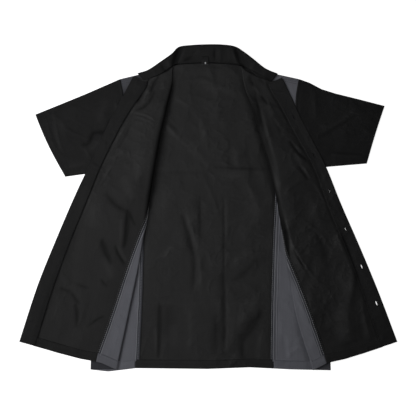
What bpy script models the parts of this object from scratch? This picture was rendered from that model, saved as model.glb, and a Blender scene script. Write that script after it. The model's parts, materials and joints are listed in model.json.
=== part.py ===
"""Short-sleeved two-tone work shirt, laid on its back with both fronts turned back and out.

Each panel is one thin wall of cloth.  A panel starts as a flat grid in its own pattern
coordinates, every vertex is moved to where that spot of the cloth lies, and Solidify
gives the wall its thickness.  From the table up the plies are

    0  back panels, lower halves of the sleeves, collar fall behind the neck
    1  the part of each front that still lies as worn, upper halves of the sleeves
    2  the turned-back flap of each front, inner face up
    3  the facings along the front edges, and the size label

+X is the viewer's right, +Y runs from the hem to the collar, +Z is up and z = 0 is the
table.  "right" and "left" in the names are the wearer's, so the wearer's right is at -X.
"""
import math
from collections import namedtuple

import bmesh
import bpy
import numpy as np

MM = 0.001

# ---- driving dimensions (millimetres until the mesh is made) ----------------------------
CLOTH = 1.0                      # wall of one ply
GAP = 0.35                       # air between plies, and between pieces at a seam
SEAM_GAP = 0.5                   # the same where a seam runs over the soft fold of a front
PLY = CLOTH + GAP                # from the middle of one ply to the middle of the next
PLY_0 = CLOTH / 2                # heights of the middle of each ply
PLY_1 = PLY_0 + PLY
PLY_2 = PLY_1 + PLY
CREASE = (PLY_1 - PLY_0) / 2     # bend radius of the flattened folds at sides, sleeves, shoulders

HEM_TO_UNDERARM = 0.64           # share of the garment's length below the armhole
FLAP_SETTLE = 75.0               # how far past its roll a flap takes to lie down
CLEAR_OF_SIDE = 20.0             # a flap stays up this far past the body's side fold
SLOPE_TO_TABLE = 35.0            # then comes down to the table over this distance
ONTO_COLLAR = (0.86, 0.93)       # a flap rises over the collar's fall between these shares
NECKLINE_FROM = 0.80             # a flap's rows bend to its neckline above this share
FOLD_EASE = 30.0                 # soft folds fade over this distance from a flap's roll and edge
FOLDS_END = (0.925, 0.985)       # and between these shares towards its top

BUTTON_RADIUS = 6.0
BUTTON_THICKNESS = 2.4
BUTTON_PITCH = 101.0
BUTTON_INSET = 15.0              # from the front edge to the line of buttons
BUTTON_RISE = 24.0               # the flap rises onto its buttons over this distance
BUTTON_COUNT = 6
FIRST_BUTTON = 108.0             # from the hem to the lowest button
SLIT_LENGTH = 13.0
SLIT_WIDTH = 2.2

LABEL_WIDTH = 20.0
LABEL_X = -7.0
LABEL_YS = (356.0, 363.5, 380.0)

# ---- sections of the two fronts ----------------------------------------------------------
# v       share of the way from hem to neck
# fold_*  where the front turns back        edge_*  where its front edge comes to lie
# roll    radius of the soft fold           facing  width of the facing
# seam    grey/black seam, measured in the cloth from the fold; + is on the flap
Section = namedtuple("Section", "place v fold_x fold_y edge_x edge_y roll facing seam")

RIGHT_FRONT = [Section(*row) for row in (
    ("hem",         0.00, -227.5, -403.0, -470.5, -334.0, 4.2, 40, 58),
    ("hip",         0.18, -198.0, -265.0, -424.0, -192.0, 4.4, 38, 43),
    ("waist",       0.34, -173.0, -145.0, -379.0,  -80.0, 4.6, 34, 28),
    ("midriff",     0.49, -151.5,  -30.0, -333.0,   27.0, 4.8, 32, 7),
    ("underarm",    0.64, -136.0,   82.0, -287.0,  124.0, 4.8, 27, -12),
    ("chest",       0.76, -120.0,  173.0, -242.0,  222.0, 4.4, 31, -26),
    ("upper chest", 0.86, -103.0,  249.0, -206.0,  290.0, 3.4, 36, -38),
    ("collarbone",  0.93,  -91.0,  302.0, -192.0,  316.0, 2.4, 37, -48),
    ("neck",        1.00,  -87.5,  352.5, -184.0,  330.5, 1.4, 36, -58),
)]

LEFT_FRONT = [Section(*row) for row in (
    ("hem",         0.00,  262.5, -404.0,  472.5, -334.5, 5.4, 42, 41),
    ("hip",         0.18,  224.0, -265.0,  423.0, -204.0, 5.2, 38, 32),
    ("waist",       0.34,  202.0, -145.0,  376.0,  -91.0, 5.0, 34, 9),
    ("midriff",     0.49,  183.5,  -31.0,  330.0,   14.0, 4.6, 31, 1),
    ("underarm",    0.64,  159.5,   82.0,  287.0,  118.0, 4.2, 28, -12),
    ("chest",       0.76,  132.0,  173.0,  236.0,  215.0, 3.8, 30, -26),
    ("upper chest", 0.86,  112.0,  249.0,  203.0,  287.0, 3.2, 34, -38),
    ("collarbone",  0.93,   92.0,  302.0,  191.0,  311.0, 2.4, 35, -48),
    ("neck",        1.00,   84.0,  352.5,  184.0,  325.0, 1.4, 34, -56),
)]

# ---- outline of the body: side fold below the underarm, armhole above it -------------------
Outline = namedtuple("Outline", "v x y")

RIGHT_SIDE = [Outline(*row) for row in ((0.0, -294.0, -403.0), (0.64, -277.0, 90.0))]
LEFT_SIDE = [Outline(*row) for row in ((0.0, 307.0, -405.0), (0.64, 290.0, 103.0))]

RIGHT_ARMHOLE = [Outline(*row) for row in (
    (0.64, -277.0, 90.0), (0.70, -251.0, 113.0), (0.77, -229.0, 158.0),
    (0.86, -214.0, 222.0), (0.93, -212.5, 275.0), (1.00, -220.0, 321.0))]
LEFT_ARMHOLE = [Outline(*row) for row in (
    (0.64, 290.0, 103.0), (0.70, 264.0, 124.0), (0.77, 241.0, 166.0),
    (0.86, 223.0, 224.0), (0.93, 220.5, 272.0), (1.00, 228.0, 321.0))]

# ---- seams between the black back and its grey sides: v and x --------------------------------
RIGHT_BACK_SEAM = ((0.0, -174.0), (0.12, -169.5), (0.35, -163.0), (0.64, -163.0), (1.0, -158.0))
LEFT_BACK_SEAM = ((0.0, 156.0), (0.20, 158.0), (0.42, 163.0), (0.60, 169.0), (1.0, 160.0))

# ---- top edge of the back (shoulders and neckline) and its hem: x and y -----------------------
BACK_TOP = ((-220.0, 321.0), (-87.5, 352.5), (-84.0, 357.0), (-57.0, 360.0), (-7.0, 362.0),
            (42.0, 360.5), (80.5, 357.0), (84.0, 352.5), (228.0, 321.0))
BACK_HEM = ((-294.0, -403.0), (-249.0, -408.0), (-180.0, -399.5), (0.0, -401.5),
            (105.0, -397.5), (204.0, -402.5), (307.0, -405.0))

# ---- dip of a flap's neckline below the straight line from the fold to the corner ---------------
NECKLINE_DIP = ((0.0, 0.0), (0.12, 7.0), (0.37, 13.5), (0.73, 17.0), (0.86, 10.0), (1.0, 0.0))

# ---- sleeves: the two corners of the cuff and how far it bows out between them; and how far the
# upper fold dips on its way to the cuff, as the share of that way and the dip ------------------
RIGHT_CUFF = ((-431.0, 232.5), (-357.0, 79.0))
LEFT_CUFF = ((441.0, 254.0), (397.0, 112.0))
RIGHT_CUFF_BOW = 4.0
LEFT_CUFF_BOW = -1.5
RIGHT_DIP = ((0.0, 0.0), (0.4, 1.5), (1.0, 0.0))
LEFT_DIP = ((0.0, 0.0), (0.12, 1.0), (0.26, 7.5), (0.42, 7.5), (0.7, 3.5), (1.0, 0.0))

# ---- collar -----------------------------------------------------------------------------------
# seam_*  inner edge of the standing part, at the neck seam     roll_*  its outer, folded edge
# seam_z  height of that inner edge      fall_z  height of the fall underneath
# under   how far the fall reaches past the neck seam           roll    radius of the fold
Collar = namedtuple("Collar", "place seam_x seam_y roll_x roll_y seam_z fall_z under roll")
ON_FLAP = PLY_2 + PLY
COLLAR = [Collar(*row) for row in (
    ("right end",      -160.5, 319.5, -176.0, 336.0, ON_FLAP, PLY_2,  14, 1.4),
    ("right point",    -140.0, 326.5, -149.0, 345.0, ON_FLAP, PLY_2,  12, 1.5),
    ("right neck",     -113.0, 338.5, -116.0, 367.0, ON_FLAP, PLY_2,   2, 1.6),
    ("right shoulder",  -93.0, 353.0,  -90.0, 385.5, ON_FLAP, PLY_2,  -7, 1.7),
    ("right turn",      -76.0, 359.5,  -73.0, 402.0, PLY_1,   PLY_0,  -4, 1.9),
    ("right back",      -45.0, 361.8,  -44.0, 406.5, PLY_1,   PLY_0,   5, 2.1),
    ("centre back",      -5.0, 363.2,   -4.0, 408.5, PLY_1,   PLY_0,   8, 2.2),
    ("left back",        40.0, 361.8,   36.0, 408.0, PLY_1,   PLY_0,   5, 2.1),
    ("left turn",        73.0, 359.5,   68.0, 403.0, PLY_1,   PLY_0,  -4, 1.9),
    ("left shoulder",    90.0, 353.0,   92.0, 388.0, ON_FLAP, PLY_2,  -7, 1.7),
    ("left neck",       112.0, 343.0,  113.0, 372.0, ON_FLAP, PLY_2,   2, 1.6),
    ("left point",      138.0, 330.0,  143.0, 348.5, ON_FLAP, PLY_2,  12, 1.5),
    ("left end",        160.5, 318.5,  174.0, 335.0, ON_FLAP, PLY_2,  14, 1.4),
)]

# ---- the largest soft folds: from, to, half width and height ------------------------------------
Fold = namedtuple("Fold", "x0 y0 x1 y1 width height")
BACK_FOLDS = [Fold(*row) for row in (
    (-122.0,  101.0,  148.0,  103.0, 20, 1.6),     # pressed across the chest
    (  42.0,   10.0,   44.0, -350.0, 20, 2.2),     # long fold down the back
    ( -62.0,   -2.0,  -36.0,  -72.0, 22, 2.6),     # bowed fold left of the middle, upper half
    ( -36.0,  -72.0,  -22.0, -215.0, 22, 2.6),     # and its lower half
    (-112.0, -122.0,  -80.0,  -90.0, 18, 1.4),
    ( 128.0, -270.0,   82.0, -352.0, 26, 2.4),
    (  20.0,  336.0,   92.0,  290.0, 20, 1.6),
    ( -45.0,  250.0,  -18.0,  128.0, 18, 1.3),
)]
RIGHT_FLAP_FOLDS = [Fold(*row) for row in (
    (-166.0,  296.0, -124.0,  322.0, 16, 2.0),
    (-190.0,  240.0, -146.0,  262.0, 16, 1.8),
    (-248.0,   14.0, -206.0,  -14.0, 20, 2.2),
    (-206.0,  -30.0, -208.0, -112.0, 20, 2.6),
    (-268.0,  -88.0, -236.0, -176.0, 24, 2.6),
    (-330.0, -150.0, -352.0, -270.0, 30, 2.0),
)]
LEFT_FLAP_FOLDS = [Fold(*row) for row in (
    ( 132.0,  290.0,  160.0,  186.0, 16, 2.4),
    ( 160.0,  186.0,  186.0,   60.0, 16, 2.4),
    ( 256.0,   32.0,  292.0,  -72.0, 22, 2.6),
    ( 322.0,  -74.0,  352.0, -168.0, 22, 2.6),
    ( 346.0, -184.0,  324.0, -256.0, 24, 2.4),
    ( 218.0, -126.0,  256.0, -172.0, 18, 1.8),
)]
RIGHT_SLEEVE_FOLDS = [Fold(*row) for row in (
    (-300.0, 118.0, -352.0, 112.0, 16, 1.6),
    (-282.0, 212.0, -262.0, 150.0, 18, 1.4),
)]
LEFT_SLEEVE_FOLDS = [Fold(*row) for row in (
    ( 374.0, 234.0,  292.0, 180.0, 18, 2.2),
    ( 300.0, 132.0,  384.0, 140.0, 18, 1.6),
)]

COLOURS = {
    "black_poplin": ((0.012, 0.012, 0.013), 0.86),
    "grey_poplin": ((0.066, 0.069, 0.083), 0.88),
    "black_facing": ((0.009, 0.009, 0.010), 0.84),
    "label_tape": ((0.010, 0.010, 0.011), 0.70),
    "button_resin": ((0.010, 0.010, 0.011), 0.32),
}


# ---- small helpers --------------------------------------------------------------------------

def smooth(t):
    """0 up to t = 0, 1 from t = 1 on, with an S-shaped rise between."""
    t = np.clip(t, 0.0, 1.0)
    return t * t * (3.0 - 2.0 * t)


def ramp(start, stop, at):
    """0 up to start, 1 from stop on; the other way round where start lies above stop."""
    return float(smooth((at - start) / (stop - start)))


def curve(knots, values, at):
    """Smooth curve through values at knots: cubics whose slopes are finite differences."""
    knots = np.asarray(knots, float)
    values = np.asarray(values, float)
    slopes = np.gradient(values, knots)
    i = int(np.clip(np.searchsorted(knots, at) - 1, 0, len(knots) - 2))
    step = knots[i + 1] - knots[i]
    t = min(max((at - knots[i]) / step, 0.0), 1.0)
    rise = t * t * (3 - 2 * t)
    return float(values[i] + (values[i + 1] - values[i]) * rise
                 + step * slopes[i] * t * (1 - t) ** 2 - step * slopes[i + 1] * t * t * (1 - t))


def column(table, name, v):
    """Value of one named column of a table at v."""
    return curve([row.v for row in table], [getattr(row, name) for row in table], v)


def table_line(points, x):
    """Straight-line reading of a table of (x, value) pairs."""
    return float(np.interp(x, [p[0] for p in points], [p[1] for p in points]))


def fold_height(folds, x, y):
    """Height that the soft folds add at (x, y): a rounded ridge that fades at both ends."""
    total = 0.0
    for fold in folds:
        along_x, along_y = fold.x1 - fold.x0, fold.y1 - fold.y0
        length = math.hypot(along_x, along_y)
        share = ((x - fold.x0) * along_x + (y - fold.y0) * along_y) / length ** 2
        aside = abs((x - fold.x0) * along_y - (y - fold.y0) * along_x) / length
        ends = smooth((0.5 - abs(share - 0.5)) * length / (1.2 * fold.width) + 0.5)
        total += fold.height * float(ends) * float(smooth(1.0 - aside / fold.width))
    return total


def unit(dx, dy):
    length = math.hypot(dx, dy)
    return dx / length, dy / length


def material(name):
    colour, roughness = COLOURS[name]
    made = bpy.data.materials.get(name) or bpy.data.materials.new(name)
    made.use_nodes = True
    shader = made.node_tree.nodes["Principled BSDF"]
    shader.inputs["Base Color"].default_value = (*colour, 1.0)
    shader.inputs["Roughness"].default_value = roughness
    made.diffuse_color = (*colour, 1.0)
    return made


def add_object(name, bm, finish, collection):
    mesh = bpy.data.meshes.new(name)
    bm.to_mesh(mesh)
    bm.free()
    mesh.materials.append(material(finish))
    made = bpy.data.objects.new(name, mesh)
    collection.objects.link(made)
    return made


def thicken(made, wall=CLOTH):
    """Give an open sheet its wall, half on each side."""
    solid = made.modifiers.new("cloth wall", "SOLIDIFY")
    solid.thickness = wall * MM
    solid.offset = 0.0
    solid.use_rim = True


def grid(columns, rows):
    """Flat grid of triangles whose vertices carry their column and row number as x and y."""
    bm = bmesh.new()
    bmesh.ops.create_grid(bm, x_segments=len(columns) - 1, y_segments=len(rows) - 1, size=0.5)
    for vert in bm.verts:
        vert.co.x = round((vert.co.x + 0.5) * (len(columns) - 1))
        vert.co.y = round((vert.co.y + 0.5) * (len(rows) - 1))
    bmesh.ops.triangulate(bm, faces=bm.faces[:], quad_method="FIXED")
    return bm


def cut_at(bm, x, keep_above):
    """Cut the flat grid along the line at x and keep one side of it."""
    geometry = bm.verts[:] + bm.edges[:] + bm.faces[:]
    bmesh.ops.bisect_plane(bm, geom=geometry, dist=1e-5, plane_co=(x, 0, 0), plane_no=(1, 0, 0),
                           clear_inner=keep_above, clear_outer=not keep_above)


def lay(bm, place):
    """Move every vertex of a flat grid to where the cloth lies; place() gives millimetres."""
    for vert in bm.verts:
        x, y, z = place(vert.co.x, vert.co.y)
        vert.co = (x * MM, y * MM, z * MM)


# ---- rows that all body panels share, so that neighbours meet vertex to vertex -------------------
BODY_ROWS = [0.0, 0.035, 0.08, 0.13, 0.18, 0.235, 0.29, 0.34, 0.39, 0.44, 0.49, 0.54, 0.59, 0.64,
             0.67, 0.71, 0.76, 0.81, 0.86, 0.90, 0.94, 0.97, 1.0]
ARMHOLE_ROWS = [v for v in BODY_ROWS if v >= HEM_TO_UNDERARM]


# A front cut across at v.  fold: the point where it turns back; out and back: unit directions from
# there to the side fold and to the front edge; under, flap and facing: widths of flat cloth.
Cut = namedtuple("Cut", "fold out back roll under flap facing")


class Half:
    """One half of the shirt: its tables, and the sign of x on its side."""

    def __init__(self, word, sign, front, side, armhole, back_seam, cuff, cuff_bow, dip,
                 flap_folds, sleeve_folds, on_buttons):
        self.word, self.sign = word, sign
        self.front, self.side, self.armhole = front, side, armhole
        self.back_seam, self.cuff, self.cuff_bow, self.dip = back_seam, cuff, cuff_bow, dip
        self.flap_folds, self.sleeve_folds = flap_folds, sleeve_folds
        self.on_buttons = on_buttons
        self.cache = {}

    def outline(self, v):
        """Side fold up to the underarm, armhole above it."""
        rows = self.side if v <= HEM_TO_UNDERARM else self.armhole
        return column(rows, "x", v), column(rows, "y", v)

    def section(self, v):
        """Every size of the front at v, worked out once for each row."""
        v = min(v, 1.0)
        if v not in self.cache:
            fold = column(self.front, "fold_x", v), column(self.front, "fold_y", v)
            edge = column(self.front, "edge_x", v), column(self.front, "edge_y", v)
            side = self.outline(v)
            roll = column(self.front, "roll", v)
            facing = column(self.front, "facing", v)
            inset = CREASE if v <= HEM_TO_UNDERARM else GAP / 2
            under = math.dist(fold, side) - roll - inset
            flap = math.dist(fold, edge) - roll - facing
            out = unit(side[0] - fold[0], side[1] - fold[1])
            back = unit(edge[0] - fold[0], edge[1] - fold[1])
            self.cache[v] = Cut(fold, out, back, roll, under, flap, facing)
        return self.cache[v]

    def covered(self, x, y):
        """1 over the body and the sleeve, 0 where a flap lies on the table."""
        reach = CLEAR_OF_SIDE + SLOPE_TO_TABLE
        side_x = np.interp(y, [row.y for row in self.side], [abs(row.x) for row in self.side])
        body = smooth((side_x + reach - abs(x)) / SLOPE_TO_TABLE)
        underarm, corner = self.side[-1], self.cuff[1]
        sleeve_y = np.interp(abs(x), [abs(underarm.x), abs(corner[0])], [underarm.y, corner[1]])
        sleeve = smooth((y - sleeve_y + reach) / SLOPE_TO_TABLE)
        return float(max(body, sleeve))

    def flap_rest(self, x, y, v, from_edge):
        """Height at which a flap comes to rest, from what is under it."""
        rest = PLY_0 + (PLY_2 - PLY_0) * self.covered(x, y)
        rest += PLY * ramp(*ONTO_COLLAR, v)
        if self.on_buttons:
            lift = BUTTON_THICKNESS + GAP
            rest += lift * ramp(2 * BUTTON_RISE, BUTTON_RISE, from_edge)
        return rest

    def front_point(self, s, v, lift=0.0):
        """Where the front's cloth lies: s runs across it from the fold, + on to the flap."""
        fold, out, back, roll, under, flap, facing = self.section(v)
        quarter = roll * math.pi / 2                                  # cloth in a quarter turn
        if s < -quarter:                                              # ply 1, as worn
            past = max(-s - quarter - under, 0.0)
            angle = min(past / CREASE, math.pi)
            reach = roll + min(-s - quarter, under) + CREASE * math.sin(angle)
            height = PLY_1 - CREASE * (1 - math.cos(angle))
            x, y = fold[0] + out[0] * reach, fold[1] + out[1] * reach
            if v > 1.0:                                               # round the shoulder fold
                turn = (v - 1.0) * math.pi
                height = PLY_1 - CREASE * (1 - math.cos(turn))
                y += CREASE * math.sin(turn)
            return x, y, height
        if s < quarter:                                               # the roll itself
            angle = s / roll
            reach = roll * (1 - math.cos(angle))
            way = back if s > 0 else out
            return (fold[0] + way[0] * reach, fold[1] + way[1] * reach,
                    PLY_1 + roll * (1 + math.sin(angle)))
        reach = roll + s - quarter                                    # the flap
        x, y = fold[0] + back[0] * reach, fold[1] + back[1] * reach
        width = roll + flap + facing
        y -= table_line(NECKLINE_DIP, reach / width) * ramp(NECKLINE_FROM, 1.0, v)
        rest = self.flap_rest(x, y, v, width - reach)
        settle = 0.5 + 0.5 * math.cos(math.pi * min((s - quarter) / FLAP_SETTLE, 1.0))
        top = PLY_1 + 2 * roll
        ease = ramp(0.0, FOLD_EASE, s - quarter) * ramp(0.0, FOLD_EASE, width - reach)
        ease *= ramp(FOLDS_END[1], FOLDS_END[0], v)
        height = rest + max(top - rest, 0.0) * settle
        height += fold_height(self.flap_folds, x, y) * ease
        return x, y, height + lift


HALVES = (
    Half("right", -1, RIGHT_FRONT, RIGHT_SIDE, RIGHT_ARMHOLE, RIGHT_BACK_SEAM, RIGHT_CUFF,
         RIGHT_CUFF_BOW, RIGHT_DIP, RIGHT_FLAP_FOLDS, RIGHT_SLEEVE_FOLDS, True),
    Half("left", 1, LEFT_FRONT, LEFT_SIDE, LEFT_ARMHOLE, LEFT_BACK_SEAM, LEFT_CUFF,
         LEFT_CUFF_BOW, LEFT_DIP, LEFT_FLAP_FOLDS, LEFT_SLEEVE_FOLDS, False),
)
RIGHT, LEFT = HALVES


# ---- fronts, grey side-fronts and facings --------------------------------------------------------
# Columns of a front's grid: the zone of the cloth and the share of that zone.
FRONT_COLUMNS = (
    [("side", share) for share in (1.0, 0.66, 0.33)]
    + [("under", share) for share in (1.0, 0.72, 0.44, 0.18)]
    + [("roll", share) for share in (-1.0, -0.67, -0.33, 0.0, 0.33, 0.67, 1.0)]
    + [("flap", share) for share in (0.09, 0.22, 0.4, 0.6, 0.8)]
    + [("facing", share) for share in (0.0, 0.5, 1.0)]
)
FACING_COLUMNS = [("facing", share) for share in (0.0, 0.5, 1.0)]
SHOULDER_ROWS = [1.34, 1.67, 2.0]       # thirds of the turn over the shoulder fold


def across(half, zone, share, v):
    """Distance in the cloth from the fold to a column of the grid."""
    cut = half.section(v)
    quarter = cut.roll * math.pi / 2
    return {
        "side": -quarter - cut.under - share * math.pi * CREASE,
        "under": -quarter - cut.under * share,
        "roll": quarter * share,
        "flap": quarter + cut.flap * share,
        "facing": quarter + cut.flap + cut.facing * share,
    }[zone]


def front_sheet(half):
    """Grid of a whole front with the grey/black seam at x = 0, and where each vertex will lie."""
    rows = BODY_ROWS + SHOULDER_ROWS
    bm = grid(FRONT_COLUMNS, rows)
    under = [i for i, (zone, share) in enumerate(FRONT_COLUMNS) if zone == "under"]
    last_body = len(BODY_ROWS) - 1
    underarm = BODY_ROWS.index(HEM_TO_UNDERARM)
    spare = []
    for face in bm.faces:
        middle = face.calc_center_median()
        off_shoulder = middle.y > last_body and not under[0] < middle.x < under[-1] + 1
        off_side = middle.x < under[0] and middle.y > underarm
        if off_shoulder or off_side:
            spare.append(face)
    bmesh.ops.delete(bm, geom=spare, context="FACES")
    laid = bm.verts.layers.float_vector.new("laid")
    for vert in bm.verts:
        zone, share = FRONT_COLUMNS[round(vert.co.x)]
        v = rows[round(vert.co.y)]
        s = across(half, zone, share, v)
        vert[laid] = half.front_point(s, v)
        vert.co = (s - column(half.front, "seam", min(v, 1.0)), v * 1000, 0)
    return bm


def add_fronts(half, collection):
    """Black front and grey side-front of one half, parted along their curved seam."""
    for name, finish, black in ((f"front_{half.word}", "black_poplin", True),
                                (f"front_side_{half.word}", "grey_poplin", False)):
        bm = front_sheet(half)
        cut_at(bm, SEAM_GAP / 2 if black else -SEAM_GAP / 2, keep_above=black)
        laid = bm.verts.layers.float_vector["laid"]
        for vert in bm.verts:
            vert.co = vert[laid] * MM
        if half.sign < 0:
            bmesh.ops.reverse_faces(bm, faces=bm.faces[:])
        thicken(add_object(name, bm, finish, collection))


def add_facing(half, collection):
    """Facing on the inner face of the flap, one ply above it, from the flap's own points."""
    rows = BODY_ROWS[:-1]
    bm = grid(FACING_COLUMNS, rows)
    lay(bm, lambda i, j: half.front_point(
        across(half, *FACING_COLUMNS[round(i)], rows[round(j)]), rows[round(j)], PLY))
    thicken(add_object(f"facing_{half.word}", bm, "black_facing", collection))


# ---- back ------------------------------------------------------------------------------------------
FALL_Y = (329.0, 345.0)          # the back rises onto the collar's fall between these lines
FALL_X = (60.0, 78.0)            # and is down again between these distances from the middle
NECKLINE_X = (-80.0, 76.0)       # between these its top edge is the neckline, not a shoulder
HEM_CURVE = 0.12                 # the curve of its hem has faded out at this share
FOLDS_FROM = (10.0, 36.0)        # soft folds set in at these distances inside the fronts' folds
FOLDS_TO = (340.0, 356.0)        # and fade out between these lines


def seam_x(half, v):
    table = half.back_seam
    return curve([row[0] for row in table], [row[1] for row in table], v)


def straight_across(x, v):
    """y at x on the straight line from one side of the body to the other."""
    (start_x, start_y), (stop_x, stop_y) = RIGHT.outline(v), LEFT.outline(v)
    return start_y + (stop_y - start_y) * (x - start_x) / (stop_x - start_x)


def back_point(x, v):
    """Where the back lies for a given x and share of its length."""
    y = straight_across(x, v)
    y += ramp(HEM_TO_UNDERARM, 1.0, v) * (table_line(BACK_TOP, x) - straight_across(x, 1.0))
    y += ramp(HEM_CURVE, 0.0, v) * (table_line(BACK_HEM, x) - straight_across(x, 0.0))
    if v == 1.0 and not NECKLINE_X[0] < x < NECKLINE_X[1]:
        y -= CREASE + GAP
    inner = min(x - fold_line_x(RIGHT, y), fold_line_x(LEFT, y) - x)
    clear = ramp(*FOLDS_FROM, inner) * ramp(FOLDS_TO[1], FOLDS_TO[0], y)
    over_fall = ramp(*FALL_Y, y) * ramp(FALL_X[1], FALL_X[0], abs(x))
    return x, y, PLY_0 + clear * fold_height(BACK_FOLDS, x, y) + PLY * over_fall


def fold_line_x(half, y):
    """x of the line where a front turns back, at y."""
    return np.interp(y, [row.fold_y for row in half.front], [row.fold_x for row in half.front])


def back_edge(half, v):
    """Outer edge of the back: short of the side fold, or right at the armhole."""
    inset = CREASE + GAP if v <= HEM_TO_UNDERARM else GAP / 2
    return half.outline(v)[0] - half.sign * inset


def add_back(collection):
    """Black centre back and its two grey side panels."""
    centre = (0.0, 0.08, 0.15, 0.222, 0.239, 0.30, 0.37, 0.44, 0.5, 0.56, 0.63, 0.695, 0.746, 0.761,
              0.84, 0.92, 1.0)
    side = (0.0, 0.33, 0.66, 1.0)
    panels = (
        ("back_centre", "black_poplin", centre,
         lambda v: (seam_x(RIGHT, v) + GAP / 2, seam_x(LEFT, v) - GAP / 2)),
        ("back_side_right", "grey_poplin", side,
         lambda v: (back_edge(RIGHT, v), seam_x(RIGHT, v) - GAP / 2)),
        ("back_side_left", "grey_poplin", side,
         lambda v: (seam_x(LEFT, v) + GAP / 2, back_edge(LEFT, v))),
    )
    for name, finish, shares, ends in panels:
        bm = grid(shares, BODY_ROWS)

        def place(i, j):
            v = BODY_ROWS[round(j)]
            start, stop = ends(v)
            return back_point(start + (stop - start) * shares[round(i)], v)

        lay(bm, place)
        thicken(add_object(name, bm, finish, collection))


# ---- sleeves -----------------------------------------------------------------------------------------
SLEEVE_STEPS = (0.0, 0.12, 0.26, 0.42, 0.6, 0.8, 1.0)      # share of the way to the cuff


def sleeve_point(half, v, upper, step, turn=0.0):
    """A spot of the sleeve: v is its line from the armhole, turn goes round the flat folds."""
    start = half.outline(v)
    share = (1.0 - v) / (1.0 - HEM_TO_UNDERARM)
    top, bottom = half.cuff
    stop = (top[0] + (bottom[0] - top[0]) * share, top[1] + (bottom[1] - top[1]) * share)
    way = unit(stop[0] - start[0], stop[1] - start[1])
    bow = half.cuff_bow * math.sin(math.pi * share)
    clear = GAP / 2 + (CLOTH / 2 + GAP) * (share ** 8 + (1 - share) ** 8)
    on = clear * (1 - step) + bow * step
    x = start[0] + (stop[0] - start[0]) * step + way[0] * on
    y = start[1] + (stop[1] - start[1]) * step + way[1] * on
    y -= table_line(half.dip, step) * (1 - share) ** 2
    edge = {0.0: 1.0, 1.0: -1.0}.get(round(share, 6), 0.0)           # + shoulder, - underarm
    if edge:
        reach = edge * half.sign * CREASE * (math.sin(turn) - 1)
        x -= way[1] * reach
        y += way[0] * reach
    height = PLY_0 + CREASE * (1 + math.cos(turn)) if edge else (PLY_1 if upper else PLY_0)
    if upper and not edge:
        open_cuff = math.sin(math.pi * share) * step ** 2
        clear = ramp(0.2, 0.45, step) * ramp(1.0, 0.8, step)
        height += open_cuff + clear * fold_height(half.sleeve_folds, x, y)
    return x, y, height


def add_sleeve(half, collection):
    """Flattened tube from the armhole to the cuff, folded flat along its top and its underarm."""
    inner = ARMHOLE_ROWS[1:-1]
    top, bottom = ARMHOLE_ROWS[-1], ARMHOLE_ROWS[0]
    turns = (0.0, math.pi / 3, 2 * math.pi / 3, math.pi)
    ring = [(v, True, 0.0) for v in inner]
    ring += [(top, True, turn) for turn in turns]
    ring += [(v, False, 0.0) for v in reversed(inner)]
    ring += [(bottom, False, turn) for turn in reversed(turns)]
    ring.append(ring[0])
    bm = grid(ring, SLEEVE_STEPS)

    def place(i, j):
        v, upper, turn = ring[round(i)]
        return sleeve_point(half, v, upper, SLEEVE_STEPS[round(j)], turn)

    lay(bm, place)
    bmesh.ops.remove_doubles(bm, verts=bm.verts[:], dist=1e-6)
    bmesh.ops.recalc_face_normals(bm, faces=bm.faces[:])
    thicken(add_object(f"sleeve_{half.word}", bm, "black_poplin", collection))


# ---- collar and size label ---------------------------------------------------------------------------
STAND_SHARES = (0.0, 0.33, 0.66, 1.0)
ROLL_TURNS = (0.25, 0.5, 0.75)
FALL_SHARES = (1.0, 0.5, 0.0)
COLLAR_STEPS = 24


def collar_section(u):
    """All columns of the collar's table at u, which counts its rows."""
    knots = range(len(COLLAR))
    read = {name: curve(knots, [getattr(row, name) for row in COLLAR], u)
            for name in ("seam_x", "seam_y", "roll_x", "roll_y", "under")}
    for name in ("seam_z", "fall_z", "roll"):
        read[name] = float(np.interp(u, knots, [getattr(row, name) for row in COLLAR]))
    return read


def collar_point(zone, share, u):
    """The standing part rises to the roll, turns over it and comes back as the fall."""
    cut = collar_section(u)
    seam, outer = (cut["seam_x"], cut["seam_y"]), (cut["roll_x"], cut["roll_y"])
    way = unit(outer[0] - seam[0], outer[1] - seam[1])
    width = math.dist(seam, outer) - cut["roll"]
    top = cut["fall_z"] + 2 * cut["roll"]
    if zone == "stand":
        reach = width * share
        height = cut["seam_z"] + max(top - cut["seam_z"], 0.0) * float(smooth(share))
    elif zone == "roll":
        reach = width + cut["roll"] * math.sin(math.pi * share)
        height = cut["fall_z"] + cut["roll"] * (1 + math.cos(math.pi * share))
    else:
        reach = (width + cut["under"]) * share - cut["under"]
        height = cut["fall_z"]
    return seam[0] + way[0] * reach, seam[1] + way[1] * reach, height


def add_collar(collection):
    columns = [("stand", share) for share in STAND_SHARES]
    columns += [("roll", turn) for turn in ROLL_TURNS]
    columns += [("fall", share) for share in FALL_SHARES]
    rows = np.linspace(0, len(COLLAR) - 1, COLLAR_STEPS + 1)
    bm = grid(columns, rows)
    lay(bm, lambda i, j: collar_point(*columns[round(i)], float(rows[round(j)])))
    thicken(add_object("collar", bm, "black_facing", collection))


def add_label(collection):
    """Small woven label over the neck seam, on the collar's stand."""
    centre = (len(COLLAR) - 1) / 2
    stand = collar_section(centre)
    shares = [max(y - stand["seam_y"], 0.0) / (stand["roll_y"] - stand["seam_y"]) for y in LABEL_YS]
    bm = grid((0, 1), LABEL_YS)

    def place(i, j):
        x = LABEL_X + (round(i) - 0.5) * LABEL_WIDTH
        return x, LABEL_YS[round(j)], collar_point("stand", shares[round(j)], centre)[2] + PLY

    lay(bm, place)
    thicken(add_object("size_label", bm, "label_tape", collection))


# ---- buttons and buttonholes ----------------------------------------------------------------------------

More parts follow.
